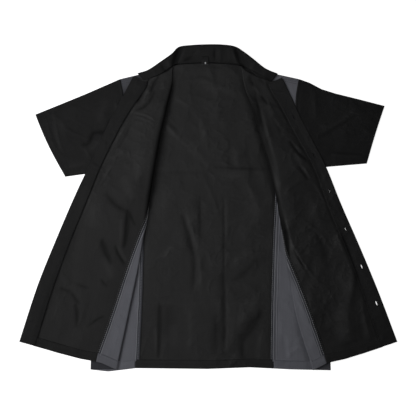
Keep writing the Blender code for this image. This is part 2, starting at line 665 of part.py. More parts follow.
def closure_spot(half, number):
    """Middle of a button or buttonhole, the way of the edge there, and the cloth's height."""
    along = FIRST_BUTTON + number * BUTTON_PITCH
    vs = np.linspace(0.0, 0.999, 400)
    edge = np.array([half.front_point(across(half, "facing", 1.0, v), v) for v in vs])
    walked = np.concatenate(([0.0], np.cumsum(np.hypot(*np.diff(edge[:, :2], axis=0).T))))
    v = float(np.interp(along, walked, vs))
    step = 0.01
    here, beyond = (half.front_point(across(half, "facing", 1.0, w), w) for w in (v, v + step))
    way = unit(beyond[0] - here[0], beyond[1] - here[1])
    inward = (-way[1], way[0]) if half.sign > 0 else (way[1], -way[0])
    x, y = here[0] + inward[0] * BUTTON_INSET, here[1] + inward[1] * BUTTON_INSET
    return x, y, here[2], math.atan2(way[1], way[0])


def add_buttons(collection):
    """Four-hole buttons under the wearer's right flap, their faces down."""
    for number in range(BUTTON_COUNT):
        x, y, cloth, way = closure_spot(RIGHT, number)
        top = cloth - CLOTH / 2 - GAP
        bm = bmesh.new()
        bmesh.ops.create_cone(bm, cap_ends=True, segments=24, radius1=BUTTON_RADIUS * MM,
                              radius2=BUTTON_RADIUS * MM, depth=BUTTON_THICKNESS * MM)
        made = add_object(f"button_{number + 1}", bm, "button_resin", collection)
        made.location = (x * MM, y * MM, (top - BUTTON_THICKNESS / 2) * MM)
        made.rotation_euler.z = way
        made.data.shade_smooth()
        made.data.set_sharp_from_angle(angle=math.radians(40))
        bevel = made.modifiers.new("rounded rim", "BEVEL")
        bevel.width = 0.5 * MM
        bevel.segments = 1


def add_slits(collection, cutters):
    """Buttonholes, cut through the wearer's left front and its facing along the edge."""
    for number in range(BUTTON_COUNT):
        x, y, cloth, way = closure_spot(LEFT, number)
        bm = bmesh.new()
        bmesh.ops.create_cube(bm, size=1.0)
        bmesh.ops.scale(bm, vec=(SLIT_LENGTH * MM, SLIT_WIDTH * MM, 14 * MM), verts=bm.verts[:])
        cutter = add_object(f"buttonhole_cutter_{number + 1}", bm, "black_poplin", cutters)
        cutter.location = (x * MM, y * MM, (cloth + PLY / 2) * MM)
        cutter.rotation_euler.z = way
        cutter.hide_render = True
        cutter.display_type = "WIRE"
        for name in ("front_left", "facing_left"):
            slit = collection.objects[name].modifiers.new(f"buttonhole {number + 1}", "BOOLEAN")
            slit.operation = "DIFFERENCE"
            slit.object = cutter


def main():
    for old in list(bpy.data.objects):
        bpy.data.objects.remove(old)
    shirt = bpy.data.collections.new("work_shirt")
    cutters = bpy.data.collections.new("cutters")
    for collection in (shirt, cutters):
        bpy.context.scene.collection.children.link(collection)
    add_back(shirt)
    for half in HALVES:
        add_fronts(half, shirt)
        add_facing(half, shirt)
        add_sleeve(half, shirt)
    add_collar(shirt)
    add_label(shirt)
    add_buttons(shirt)
    add_slits(shirt, cutters)


main()
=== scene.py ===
# %% [markdown]
# # A two-tone work shirt, laid open
#
# The shirt lies on its back with both fronts turned back and out, so we look at the inside of
# the body.  Everything here is cloth: thin walls that lie on each other, two or three deep.
# Each panel is a surface over its own pattern piece.  Two numbers say where a thread runs in
# the cloth, and a formula says where that thread lies on the table.  A fold, a crease or a
# hem is then one more term in the formula, and stitches can be set along any line of it.

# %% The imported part, and the box it must stay in
import json
import math
from collections import namedtuple

import bpy
import numpy as np
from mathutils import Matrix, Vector

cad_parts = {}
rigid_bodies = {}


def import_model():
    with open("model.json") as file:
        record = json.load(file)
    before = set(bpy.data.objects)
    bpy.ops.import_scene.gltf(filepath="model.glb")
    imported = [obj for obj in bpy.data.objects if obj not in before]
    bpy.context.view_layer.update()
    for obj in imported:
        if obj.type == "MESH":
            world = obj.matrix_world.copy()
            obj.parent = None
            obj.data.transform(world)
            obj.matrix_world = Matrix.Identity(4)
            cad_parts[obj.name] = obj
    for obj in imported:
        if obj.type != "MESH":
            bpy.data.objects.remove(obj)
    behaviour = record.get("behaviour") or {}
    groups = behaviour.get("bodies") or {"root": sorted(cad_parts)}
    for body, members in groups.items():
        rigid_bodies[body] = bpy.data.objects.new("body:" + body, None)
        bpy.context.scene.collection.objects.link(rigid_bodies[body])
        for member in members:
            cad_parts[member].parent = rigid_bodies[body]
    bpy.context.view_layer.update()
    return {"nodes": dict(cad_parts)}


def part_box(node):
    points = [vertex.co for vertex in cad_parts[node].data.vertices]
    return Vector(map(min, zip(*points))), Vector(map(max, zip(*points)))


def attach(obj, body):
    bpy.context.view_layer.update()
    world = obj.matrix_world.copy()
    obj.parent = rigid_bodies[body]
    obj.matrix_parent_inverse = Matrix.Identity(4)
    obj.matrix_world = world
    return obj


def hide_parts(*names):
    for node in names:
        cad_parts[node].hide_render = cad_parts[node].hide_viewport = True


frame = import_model()
HEM_Y, TOP_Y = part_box("back_centre")[0].y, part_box("collar")[1].y
print(f"{len(frame['nodes'])} nodes, {(TOP_Y - HEM_Y) * 1000:.0f} mm from hem to collar")

# %% [markdown]
# ## Small maths
#
# Sizes are in millimetres until a mesh is made.  `ramp` is the soft step that blends every
# shape here, and `curve` draws a smooth line through a few named rows of a table, the way a
# pattern cutter joins a few marks with a French curve.

# %% Soft steps and smooth curves
MM = 0.001
TINY = 1e-9                      # keeps a division from meeting zero


def ramp(start, stop, at):
    """t = (at - start) / (stop - start), held between 0 and 1, then eased as 3 t^2 - 2 t^3."""
    t = np.clip((at - start) / (stop - start), 0.0, 1.0)
    return t * t * (3.0 - 2.0 * t)


def curve(knots, values, at):
    """Cubic through a value at each knot, where each slope is the finite difference there."""
    knots, values, at = (np.asarray(a, float) for a in (knots, values, at))
    slopes = np.gradient(values, knots)
    i = np.clip(np.searchsorted(knots, at) - 1, 0, len(knots) - 2)
    step = knots[i + 1] - knots[i]
    t = np.clip((at - knots[i]) / step, 0.0, 1.0)
    return (values[i] + (values[i + 1] - values[i]) * t * t * (3 - 2 * t)
            + step * (slopes[i] * t * (1 - t) ** 2 - slopes[i + 1] * t * t * (1 - t)))


def column(table, name, at):
    """Smooth reading of one named column of a table whose first column is v."""
    return curve([row.v for row in table], [getattr(row, name) for row in table], at)


def place_in(table, at, name=""):
    """Smooth reading of a table's x and y columns, as one complex number x + iy."""
    return column(table, name + "x", at) + 1j * column(table, name + "y", at)


def xyz(place, high):
    """Points from complex numbers x + iy, each with its height."""
    return np.stack((place.real, place.imag, high), axis=-1)


def line(points, at):
    """Straight-line reading of a table of (position, value) pairs."""
    return np.interp(at, *zip(*points))


def rows_of(kind, rows):
    """A table: every row a named tuple of the same kind."""
    return [kind(*row) for row in rows]


def unit(vectors):
    """Each vector over its own length."""
    return vectors / np.maximum(np.linalg.norm(vectors, axis=-1, keepdims=True), TINY)


def stages(*counts):
    """0 up to 1 in the first count of even steps, on to 2 in the second; the end is left out."""
    return np.concatenate([np.linspace(k, k + 1, count, endpoint=False) for k, count in enumerate(counts)])


# %% [markdown]
# Cloth is never quite flat.  Two things roughen it: a soft, random unevenness, and creases
# that someone ironed or crushed in.  The unevenness is value noise: a random height at each
# point of a lattice, with eased steps between.  Stretching the lattice gives long wrinkles.

# %% Random unevenness
LATTICE = 128


def noise(x, y, size, seed, stretch=1.0, angle=0.0):
    """Random heights from -1 to 1 at every lattice point, blended with weights 3 t^2 - 2 t^3.

    The lattice is turned by angle and its cells are size wide and size * stretch long."""
    heights = np.random.default_rng(seed).uniform(-1.0, 1.0, (LATTICE, LATTICE))
    c, s = math.cos(angle), math.sin(angle)
    across, along = (x * c + y * s) / size, (y * c - x * s) / (size * stretch)
    i, j = np.floor(across).astype(int), np.floor(along).astype(int)
    tx, ty = ramp(0, 1, across - i), ramp(0, 1, along - j)
    near, far = (heights[(i + a) % LATTICE, j % LATTICE] * (1 - ty)
                 + heights[(i + a) % LATTICE, (j + 1) % LATTICE] * ty for a in (0, 1))
    return near * (1 - tx) + far * tx


def unevenness(x, y, seed, coarse=0.45, fine=0.10, middle=0.0):
    """Slow swells 70 mm across, waves 26 mm across and small dents 17 mm across, summed."""
    swells = noise(x, y, 70, seed) + 0.5 * noise(x, y, 34, seed + 1, 1.6, 0.5)
    dents = noise(x, y, 17, seed + 2, 1.5, -0.4) + 0.6 * noise(x, y, 9, seed + 3, 1.3, 0.9)
    waves = noise(x, y, 26, seed + 4, 1.7, 0.2) + 0.6 * noise(x, y, 15, seed + 5, 1.5, -0.5)
    return coarse * (swells + 1.5) / 1.5 + fine * dents + middle * (waves + 1.0)


def crinkle(x, y, seed, stretch=1.6, angle=0.3):
    """Thin ridges where a noise n crosses 0: exp(-(n / 0.13)^2), faded by a slow noise."""
    total = 0.0
    for k, (size, high) in enumerate(((58, 0.55), (33, 0.35), (19, 0.18))):
        n = noise(x, y, size, seed + 10 * k, stretch, angle + 0.9 * k)
        patch = ramp(-0.3, 0.6, noise(x, y, 90, seed + 10 * k + 5))
        total = total + high * patch * np.exp(-(n / 0.13) ** 2)
    return total


# %% [markdown]
# A crease is listed as a short bent line with a height, and its own width on either
# side, because one side of a crease is nearly always steeper.  A negative height is a valley.

# %% Creases from a table
Crease = namedtuple("Crease", "x0 y0 x1 y1 x2 y2 high left right")
CREASE_STEPS = 10                # straight pieces that the bent line is made of


def creases(table, x, y):
    """Sum of high * exp(-|d / width|^1.6) * sin(pi t)^0.5 over the rows.

    The line is the parabola through the row's three points, d is the distance from it, and t
    runs from 0 to 1 along it.  Only the grid points within four widths are worked out."""
    total = np.zeros(np.shape(x))
    for row in table:
        t = np.linspace(0, 1, CREASE_STEPS + 1)[:, None]
        start, middle, stop = (np.array(p) for p in
                               ((row.x0, row.y0), (row.x1, row.y1), (row.x2, row.y2)))
        control = 2 * middle - (start + stop) / 2
        path = (1 - t) ** 2 * start + 2 * t * (1 - t) * control + t ** 2 * stop
        reach = 4 * max(row.left, row.right)
        near = ((x > path[:, 0].min() - reach) & (x < path[:, 0].max() + reach)
                & (y > path[:, 1].min() - reach) & (y < path[:, 1].max() + reach))
        px, py = x[near], y[near]
        best, aside, share = np.full(px.shape, 1e9), np.zeros(px.shape), np.zeros(px.shape)
        for k, (a, b) in enumerate(zip(path[:-1], path[1:])):
            way = b - a
            size = np.hypot(*way)
            along = np.clip(((px - a[0]) * way[0] + (py - a[1]) * way[1]) / size ** 2, 0, 1)
            off_x, off_y = px - a[0] - along * way[0], py - a[1] - along * way[1]
            gap = np.hypot(off_x, off_y)
            closer = gap < best
            best = np.where(closer, gap, best)
            aside = np.where(closer, way[0] * off_y - way[1] * off_x, aside)
            share = np.where(closer, (k + along) / CREASE_STEPS, share)
        width = np.where(aside > 0, row.left, row.right)
        total[near] += (row.high * np.exp(-(best / width) ** 1.6)
                        * np.sin(np.pi * np.clip(share, 0.001, 0.999)) ** 0.5)
    return total


# %% [markdown]
# ## From a formula to a piece of cloth
#
# `cloth` turns a grid of points into a mesh.  Every quad runs the same way, so the side that
# the normals point to is the same all over, and Solidify then gives the sheet its wall, half
# on each side.  The wall's two faces get their own finish: this poplin is blacker outside.

# %% Building a sheet
WALL = 0.7                       # one ply of the cloth as shown
GRAIN = "cloth"                  # UV map: millimetres of cloth, so the weave follows the grain


def new_mesh(name, corners, loops, sizes):
    """Smooth faces: corners are in millimetres, loops lists the corners of face after face."""
    mesh = bpy.data.meshes.new(name)
    mesh.vertices.add(len(corners))
    mesh.loops.add(len(loops))
    mesh.polygons.add(len(sizes))
    mesh.vertices.foreach_set("co", (corners * MM).astype(np.float32).ravel())
    mesh.loops.foreach_set("vertex_index", loops.astype(np.int32))
    mesh.polygons.foreach_set("loop_start", (np.cumsum(sizes) - sizes).astype(np.int32))
    mesh.polygons.foreach_set("use_smooth", np.ones(len(sizes), bool))
    mesh.update(calc_edges=True)
    return mesh


def mesh_from_grid(name, points, uv, keep=None, flip=False, ring=False):
    """Quad (r, c) joins points (r, c), (r, c+1), (r+1, c+1), (r+1, c); a ring closes columns."""
    rows, columns = points.shape[:2]
    index = np.arange(rows * columns).reshape(rows, columns)
    right = np.roll(index, -1, axis=1) if ring else index[:, 1:]
    left = index if ring else index[:, :-1]
    quads = np.stack((left[:-1], right[:-1], right[1:], left[1:]), axis=-1)
    if flip:
        quads = quads[..., ::-1]
    used, loops = np.unique(quads if keep is None else quads[keep], return_inverse=True)
    loops = loops.ravel()
    mesh = new_mesh(name, points.reshape(-1, 3)[used], loops, np.full(len(loops) // 4, 4))
    grain = mesh.uv_layers.new(name=GRAIN)
    flat = uv.reshape(-1, 2)[used][loops] * MM
    grain.data.foreach_set("uv", flat.astype(np.float32).ravel())
    return mesh, used


def put_in_scene(name, data):
    """A new object in the scene, holding a mesh, a lamp or a camera."""
    made = bpy.data.objects.new(name, data)
    bpy.context.scene.collection.objects.link(made)
    return made


def add_piece(name, mesh, *finishes):
    """A piece of the shirt: its mesh with its finishes, riding the only body."""
    for finish in finishes:
        mesh.materials.append(finish)
    piece = put_in_scene(name, mesh)
    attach(piece, "root")
    return piece


def cloth(name, points, uv, finishes, wall=WALL, worn=None, **how):
    """A sheet with its wall; finishes are those of the side the normals face and of the other."""
    mesh, used = mesh_from_grid(name, points, uv, **how)
    # The "worn" attribute: above 0, dust and wear on ridges together with painted highlight and painted
    # light; below 0, painted shade in hollows, beside folds and at rims.
    shine = mesh.attributes.new("worn", "FLOAT", "POINT")
    ridge = np.zeros(points.shape[:2]) if worn is None else worn
    shine.data.foreach_set("value", ridge.reshape(-1)[used].astype(np.float32))
    piece = add_piece(name, mesh, *finishes)
    solid = piece.modifiers.new("wall", "SOLIDIFY")
    solid.thickness, solid.offset = wall * MM, 0.0
    solid.material_offset = 1
    return piece


def lifted(surface, a, b, high, steps=(0.5, 0.0008), side=1):
    """surface(a, b) moved by high along the cross product of its two tangents.

    The tangents are taken over twice the steps: 1 mm across, and 1.2 mm along the body."""
    middle = surface(a, b)
    over = surface(a + steps[0], b) - surface(a - steps[0], b)
    up = surface(a, b + steps[1]) - surface(a, b - steps[1])
    normal = unit(np.cross(over, up) * side)
    return middle + normal * np.asarray(high)[..., None], normal


# %% [markdown]
# ## What the cloth is made of
#
# Work shirts are sewn from a polyester and cotton poplin.  Seen close it is a plain weave with
# a slight rib across, because there are about twice as many lengthwise threads.  Seen from
# where we stand it is matt, a little dusty on the folds, and streaked along the grain; its ridges
# are also painted paler as painted highlight, and its hollows painted darker as painted shade.
# Those three things are node groups, so black, grey and facing can share them.

# %% Node helpers
def feed(tree, socket, value):
    """Link a socket to another node's output, or give it a constant."""
    if isinstance(value, bpy.types.NodeSocket):
        tree.links.new(value, socket)
    else:
        socket.default_value = value


def node(tree, kind, inputs=None, **fields):
    """A shader node with its settings made and its inputs fed."""
    made = tree.nodes.new("ShaderNode" + kind)
    for name, value in fields.items():
        setattr(made, name, value)
    for key, value in (inputs or {}).items():
        feed(tree, made.inputs[key], value)
    return made


def maths(tree, operation, *values):
    """One Math node; the values go to its sockets in their order."""
    made = node(tree, "Math", operation=operation)
    for socket, value in zip(made.inputs, values):
        feed(tree, socket, value)
    return made.outputs[0]


def times(tree, first, *others):
    """The product of all the values, one Math node after another."""
    for value in others:
        first = maths(tree, "MULTIPLY", first, value)
    return first


def scaled(tree, vector, by):
    """The vector, or colour, times a number."""
    return node(tree, "VectorMath", {0: vector, "Scale": by}, operation="SCALE").outputs[0]


def stretched(tree, vector, scale):
    """Coordinates with each axis times its own scale, so that a noise on them is drawn out."""
    return node(tree, "Mapping", {"Vector": vector, "Scale": scale}).outputs[0]


def on_object(tree):
    """Object coordinates: metres from the middle of the shirt, the same for every piece."""
    return node(tree, "TexCoord").outputs["Object"]


def clouds(tree, place, scale, detail, **inputs):
    """A noise texture of the place; its two outputs are Fac and Color."""
    inputs = {"Vector": place, "Scale": scale, "Detail": detail, **inputs}
    return node(tree, "TexNoise", inputs).outputs


def new_material(name, **constants):
    """A material, its tree and its shader; the constants are set on the shader's own sockets."""
    made = bpy.data.materials.new(name)
    made.use_nodes = True
    shader = made.node_tree.nodes["Principled BSDF"]
    for label, value in constants.items():
        shader.inputs[label.replace("_", " ")].default_value = value
    return made, made.node_tree, shader


def clouded(tree, shader, cloud, dark, light):
    """Base colour from dark to light as the cloud goes from 0 to 1."""
    ends = {"Factor": cloud, 6: (*dark, 1.0), 7: (*light, 1.0)}
    feed(tree, shader.inputs["Base Color"], node(tree, "Mix", ends, data_type="RGBA").outputs[2])


def new_group(name, inputs, outputs):
    """A node group with named sockets; an input is (name, kind, default) or (name, kind)."""
    group = bpy.data.node_groups.new(name, "ShaderNodeTree")
    for label, kind, *default in inputs:
        socket = group.interface.new_socket(label, in_out="INPUT", socket_type="NodeSocket" + kind)
        if default:
            socket.default_value = default[0]
    for label, kind in outputs:
        group.interface.new_socket(label, in_out="OUTPUT", socket_type="NodeSocket" + kind)
    return group, group.nodes.new("NodeGroupInput").outputs, group.nodes.new("NodeGroupOutput").inputs


def use_group(tree, group, **inputs):
    """The group placed in a material with its own values; its outputs go by their names."""
    made = node(tree, "Group", node_tree=group)
    for key, value in inputs.items():
        feed(tree, made.inputs[key.replace("_", " ")], value)
    return made.outputs


# %% Weave: plain, with a rib across
def make_weave():
    """Height = sin(pi u) sin(pi v) / 2 + rib |sin(pi v)| + slubs, with u and v counting threads."""
    group, given, out = new_group("plain weave", [
        ("Grain", "Vector"), ("Warp per metre", "Float", 4400.0), ("Weft per metre", "Float", 2400.0),
        ("Rib", "Float", 0.35)], [("Height", "Float")])
    split = node(group, "SeparateXYZ", {0: given["Grain"]}).outputs
    warp, weft = (maths(group, "SINE", times(group, split[axis], given[count], math.pi))
                  for axis, count in ((0, "Warp per metre"), (1, "Weft per metre")))
    crossing = times(group, warp, weft, 0.5)
    rib = times(group, maths(group, "ABSOLUTE", weft), given["Rib"])
    slub = clouds(group, stretched(group, given["Grain"], (1500.0, 60.0, 1.0)), 1.0, 1.0)["Fac"]
    feed(group, out["Height"], maths(group, "ADD", maths(group, "ADD", crossing, rib), slub))
    return group


# %% Crumple: the small creases that a shirt gets in its packet
def make_crumple():
    """Height = amount * (ridges + 0.5 soft), both noises of the place, faded in slow patches."""
    group, given, out = new_group("crumple", [
        ("Place", "Vector"), ("Amount", "Float", 1.0), ("Scale", "Float", 16.0)],
        [("Height", "Float")])
    sway = scaled(group, clouds(group, given["Place"], 7.0, 1.0)["Color"], 0.03)
    place = node(group, "VectorMath", {0: given["Place"], 1: sway}, operation="ADD").outputs[0]
    ridges = node(group, "TexNoise", {"Vector": place, "Scale": given["Scale"], "Detail": 3.0,
                                      "Roughness": 0.55, "Offset": 0.9, "Gain": 1.6},
                  noise_type="RIDGED_MULTIFRACTAL", normalize=False)
    soft = clouds(group, place, times(group, given["Scale"], 2.6), 3.0, Roughness=0.6)["Fac"]
    patch = clouds(group, given["Place"], 5.0, 1.0)["Fac"]
    fade = node(group, "MapRange", {"Value": patch, "From Min": 0.35, "From Max": 0.65,
                                    "To Min": 0.35, "To Max": 1.0})
    both = maths(group, "MULTIPLY_ADD", soft, 0.5, ridges.outputs["Fac"])
    feed(group, out["Height"], times(group, both, fade.outputs[0], given["Amount"]))
    return group


# %% Tone: streaks along the grain, faint blotches, and a little lint
def make_tone():
    """Colour * (1 + streaks * n1 + blotches * n2) + lint, where n1 and n2 are noises around 0."""
    group, given, out = new_group("cloth tone", [
        ("Color", "Color"), ("Grain", "Vector"), ("Place", "Vector"), ("Streaks", "Float", 0.2),
        ("Blotches", "Float", 0.2), ("Lint", "Float", 0.02)], [("Color", "Color")])
    streak = clouds(group, stretched(group, given["Grain"], (260.0, 9.0, 1.0)), 1.0, 3.0)["Fac"]
    blotch = clouds(group, given["Place"], 16.0, 3.0)["Fac"]
    lean = [times(group, maths(group, "SUBTRACT", cloud, 0.5), given[amount])
            for cloud, amount in ((streak, "Streaks"), (blotch, "Blotches"))]
    toned = scaled(group, given["Color"], maths(group, "ADD", maths(group, "ADD", *lean), 1.0))
    specks = node(group, "TexVoronoi", {"Vector": given["Place"], "Scale": 210.0})
    speck = times(group, maths(group, "LESS_THAN", specks.outputs["Distance"], 0.09), given["Lint"])
    lit = node(group, "VectorMath", {0: toned, 1: speck}, operation="ADD")
    feed(group, out["Color"], lit.outputs[0])
    return group


# %% Wear and painted shade: ridges go paler and smoother, partly as painted highlight, and hollows are painted darker
def make_wear_and_shade():
    """Colour * (1 + pale * ridge + deep * hollow), Roughness = rough - smoothed * ridge and Shine = shine *
    (1 + ridge shine * ridge + hollow), where ridge is the input above 0 and hollow the input below 0: ridges
    go paler and shinier partly from dust and partly as painted highlight, and hollows get painted shade in
    colour and in shine."""
    group, given, out = new_group("worn fold", [
        ("Color", "Color"), ("Worn", "Float", 0.0), ("Pale", "Float", 0.3), ("Deep", "Float", 0.6),
        ("Rough", "Float", 0.85), ("Smoothed", "Float", 0.12), ("Shine", "Float", 0.25),
        ("Polish", "Float", 0.45)],
        [("Color", "Color"), ("Roughness", "Float"), ("Shine", "Float")])
    ridge = maths(group, "MAXIMUM", given["Worn"], 0.0)
    hollow = maths(group, "MINIMUM", given["Worn"], 0.0)
    gain = maths(group, "MULTIPLY_ADD", hollow, given["Deep"],
                 maths(group, "MULTIPLY_ADD", ridge, given["Pale"], 1.0))
    feed(group, out["Color"], scaled(group, given["Color"], gain))
    feed(group, out["Roughness"],
         maths(group, "SUBTRACT", given["Rough"], times(group, ridge, given["Smoothed"])))
    rubbed = maths(group, "MULTIPLY_ADD", ridge, given["Polish"], 1.0)
    left = maths(group, "MAXIMUM", maths(group, "ADD", hollow, rubbed), 0.0)
    feed(group, out["Shine"], times(group, left, given["Shine"]))
    return group


WEAVE, CRUMPLE, TONE, WEAR_AND_SHADE = make_weave(), make_crumple(), make_tone(), make_wear_and_shade()

# %% [markdown]
# The inner face of the cloth shows on the back and on the turned-back fronts, and it is paler
# than the outer face, which shows on the sleeves, the facings, the collar and the hems.  What
# is the same all over a finish is set on the shader's own sockets; only colour, roughness and
# height come out of the groups.

# %% Finishes
Finish = namedtuple("Finish", "name colour rough sheen pale streaks blotches lint relief crumple")
FINISHES = rows_of(Finish, (
    ("black_inner", (0.0205, 0.0205, 0.0208), 0.55, 0.02, 0.25, 0.30, 0.22, 0.015, 0.6, 1.0),
    ("black_outer", (0.0090, 0.0090, 0.0094), 0.60, 0.02, 0.30, 0.26, 0.20, 0.012, 0.6, 0.7),
    # painted light: the outer face made paler, for the left facing
    ("black_rubbed", (0.0190, 0.0190, 0.0194), 0.57, 0.02, 0.30, 0.26, 0.20, 0.012, 0.6, 0.9),
    ("grey_inner", (0.162, 0.165, 0.188), 0.72, 0.02, 0.15, 0.22, 0.16, 0.020, 0.6, 0.8),
    ("grey_outer", (0.130, 0.132, 0.151), 0.72, 0.02, 0.15, 0.22, 0.16, 0.020, 0.6, 0.6),
    ("allowance", (0.075, 0.078, 0.093), 0.72, 0.02, 0.00, 0.22, 0.25, 0.020, 0.6, 0.8),
    # painted highlight: paler grey for the curled edges of the seams
    ("turned_edge", (0.200, 0.204, 0.230), 0.65, 0.02, 0.00, 0.15, 0.10, 0.000, 0.6, 0.4),
    # painted shadow: dark strips along the seams, also used for the rows of the shoulder seams
    ("seam_hollow", (0.036, 0.038, 0.047), 0.72, 0.02, 0.00, 0.22, 0.25, 0.000, 0.6, 0.4),
    ("tape", (0.0100, 0.0100, 0.0105), 0.50, 0.05, 0.00, 0.10, 0.10, 0.000, 1.0, 0.0),
    ("tape_rim", (0.035, 0.035, 0.036), 0.50, 0.05, 0.00, 0.10, 0.10, 0.000, 1.0, 0.0),
    ("thread_black", (0.010, 0.010, 0.011), 0.50, 0.05, 0.00, 0.15, 0.10, 0.000, 0.4, 0.0),
    ("thread_grey", (0.380, 0.385, 0.390), 0.60, 0.05, 0.00, 0.15, 0.10, 0.000, 0.4, 0.0),
    ("thread_dim", (0.130, 0.132, 0.138), 0.60, 0.05, 0.00, 0.15, 0.10, 0.000, 0.4, 0.0),
    ("thread_white", (0.62, 0.62, 0.64), 0.65, 0.10, 0.00, 0.08, 0.05, 0.000, 0.4, 0.0),
))
CRUMPLE_DEPTH = 0.0015           # how far the small creases stand out, in metres
WEAVE_SHARE = 0.08               # and the weave, as a share of that
SHINE = 0.25                     # specular level: dry cloth, hardly any gloss


def make_cloth_material(row):
    """Weave and crumple give the height, tone gives the colour; only panels take wear, painted highlight and
    painted shade.
    """
    made, tree, shader = new_material(row.name, Roughness=row.rough, Specular_IOR_Level=SHINE,
                                      Sheen_Weight=row.sheen, Sheen_Roughness=0.45)
    grain = node(tree, "UVMap", uv_map=GRAIN).outputs["UV"]
    place = on_object(tree)
    weave = use_group(tree, WEAVE, Grain=grain)
    toned = use_group(tree, TONE, Color=(*row.colour, 1.0), Grain=grain, Place=place,
                      Streaks=row.streaks, Blotches=row.blotches, Lint=row.lint)
    if row.pale > 0:
        worn = node(tree, "Attribute", attribute_name="worn", attribute_type="GEOMETRY")
        seen = use_group(tree, WEAR_AND_SHADE, Color=toned["Color"], Worn=worn.outputs["Fac"], Pale=row.pale,
                         Rough=row.rough, Shine=SHINE)
        for label, output in (("Base Color", "Color"), ("Roughness", "Roughness"),
                              ("Specular IOR Level", "Shine")):
            feed(tree, shader.inputs[label], seen[output])
    else:
        feed(tree, shader.inputs["Base Color"], toned["Color"])
    crumple = use_group(tree, CRUMPLE, Place=place, Amount=row.crumple)
    height = maths(tree, "MULTIPLY_ADD", weave["Height"], WEAVE_SHARE * row.relief, crumple["Height"])
    bump = node(tree, "Bump", {"Strength": 1.0, "Distance": CRUMPLE_DEPTH, "Height": height})
    feed(tree, shader.inputs["Normal"], bump.outputs["Normal"])
    return made


def both_faces(name):
    """One finish for the two faces of a sheet."""
    return LOOK[name], LOOK[name]


LOOK = {row.name: make_cloth_material(row) for row in FINISHES}
BLACK = (LOOK["black_inner"], LOOK["black_outer"])
GREY = (LOOK["grey_inner"], LOOK["grey_outer"])
TURNED_BLACK = (LOOK["black_outer"], LOOK["black_inner"])
TURNED_GREY = (LOOK["grey_outer"], LOOK["grey_inner"])
print(f"{len(LOOK)} finishes from 4 node groups")

# %% [markdown]
# ## How the shirt lies
#
# From the table up: the back and the lower halves of the sleeves, then the fronts as worn,
# which are hidden except for two grey bits of shoulder, then the turned-back flaps, and their
# facings on top.  The rows below are the marks of the layout: where each front turns back and
# where its edge comes to lie, from the hem (v = 0) to the neck (v = 1).

# %% Plies and marks of the layout
GAP = 0.35                       # between plies, and between pieces at a seam
PLY = 1.35                       # from the middle of one ply to the middle of the next
PLY_0, PLY_1, PLY_2 = 0.5, 1.85, 3.2
FLAT_FOLD = (PLY_1 - PLY_0) / 2  # bend radius of the pressed folds
UNDERARM = 0.64                  # v of the underarm
FULL, PRESSED = 1.4, 0.55        # how full a roll is by the chest, and where it is pressed flat
CROWN = 2.0                      # how far a roll is drawn out over the flap, in radii
SETTLE = 0.85                    # the share of its width over which a flap comes to lie down
ON_BUTTONS = "right"             # the flap that has the buttons under its edge
BUTTON_RISE = 24.0               # and rises by their height over this distance
BUTTON_HEIGHT = 2.75

Section = namedtuple("Section", "place v fold_x fold_y edge_x edge_y roll facing")
RIGHT_FRONT = rows_of(Section, (
    ("hem",         0.00, -227.5, -403.0, -470.5, -334.0, 4.2, 40),
    ("hip",         0.18, -198.0, -265.0, -424.0, -192.0, 4.4, 38),
    ("waist",       0.34, -173.0, -145.0, -379.0,  -80.0, 4.6, 34),
    ("midriff",     0.49, -153.5,  -30.0, -333.0,   27.0, 4.8, 32),
    ("underarm",    0.64, -136.0,   82.0, -287.0,  124.0, 4.8, 27),
    ("chest",       0.76, -120.0,  173.0, -242.0,  222.0, 4.4, 31),
    ("upper chest", 0.86, -103.0,  249.0, -206.0,  290.0, 3.4, 36),
    ("collarbone",  0.93,  -91.0,  302.0, -192.0,  316.0, 2.4, 37),
    ("neck",        1.00,  -87.5,  352.5, -184.0,  330.5, 1.4, 36),
))
LEFT_FRONT = rows_of(Section, (
    ("hem",         0.00,  262.5, -404.0,  472.5, -334.5, 5.4, 42),
    ("hip",         0.18,  219.5, -265.0,  423.0, -204.0, 5.2, 38),
    ("waist",       0.34,  200.0, -145.0,  376.0,  -91.0, 5.0, 34),
    ("midriff",     0.49,  180.0,  -31.0,  330.0,   14.0, 4.6, 31),
    ("underarm",    0.64,  159.5,   82.0,  287.0,  118.0, 4.2, 28),
    ("chest",       0.76,  132.0,  173.0,  236.0,  215.0, 3.8, 30),
    ("upper chest", 0.86,  112.0,  249.0,  203.0,  287.0, 3.2, 34),
    ("collarbone",  0.93,   92.0,  302.0,  191.0,  311.0, 2.4, 35),
    ("neck",        1.00,   84.0,  352.5,  184.0,  325.0, 1.4, 34),
))
Outline = namedtuple("Outline", "v x y")
RIGHT_SIDE = rows_of(Outline, ((0.0, -294.0, -403.0), (UNDERARM, -277.0, 90.0)))
LEFT_SIDE = rows_of(Outline, ((0.0, 307.0, -405.0), (UNDERARM, 290.0, 103.0)))
RIGHT_ARMHOLE = rows_of(Outline, (
    (UNDERARM, -277.0, 90.0), (0.70, -251.0, 113.0), (0.77, -229.0, 158.0),
    (0.86, -214.0, 222.0), (0.93, -212.5, 275.0), (1.00, -220.0, 321.0)))
LEFT_ARMHOLE = rows_of(Outline, (
    (UNDERARM, 290.0, 103.0), (0.70, 264.0, 124.0), (0.77, 241.0, 166.0),
    (0.86, 223.0, 224.0), (0.93, 220.5, 272.0), (1.00, 228.0, 321.0)))
RIGHT_BACK_SEAM = ((0.0, -174.0), (0.12, -169.5), (0.35, -163.0), (0.64, -163.0), (1.0, -158.0))
LEFT_BACK_SEAM = ((0.0, 156.0), (0.20, 158.0), (0.42, 163.0), (0.60, 169.0), (1.0, 160.0))
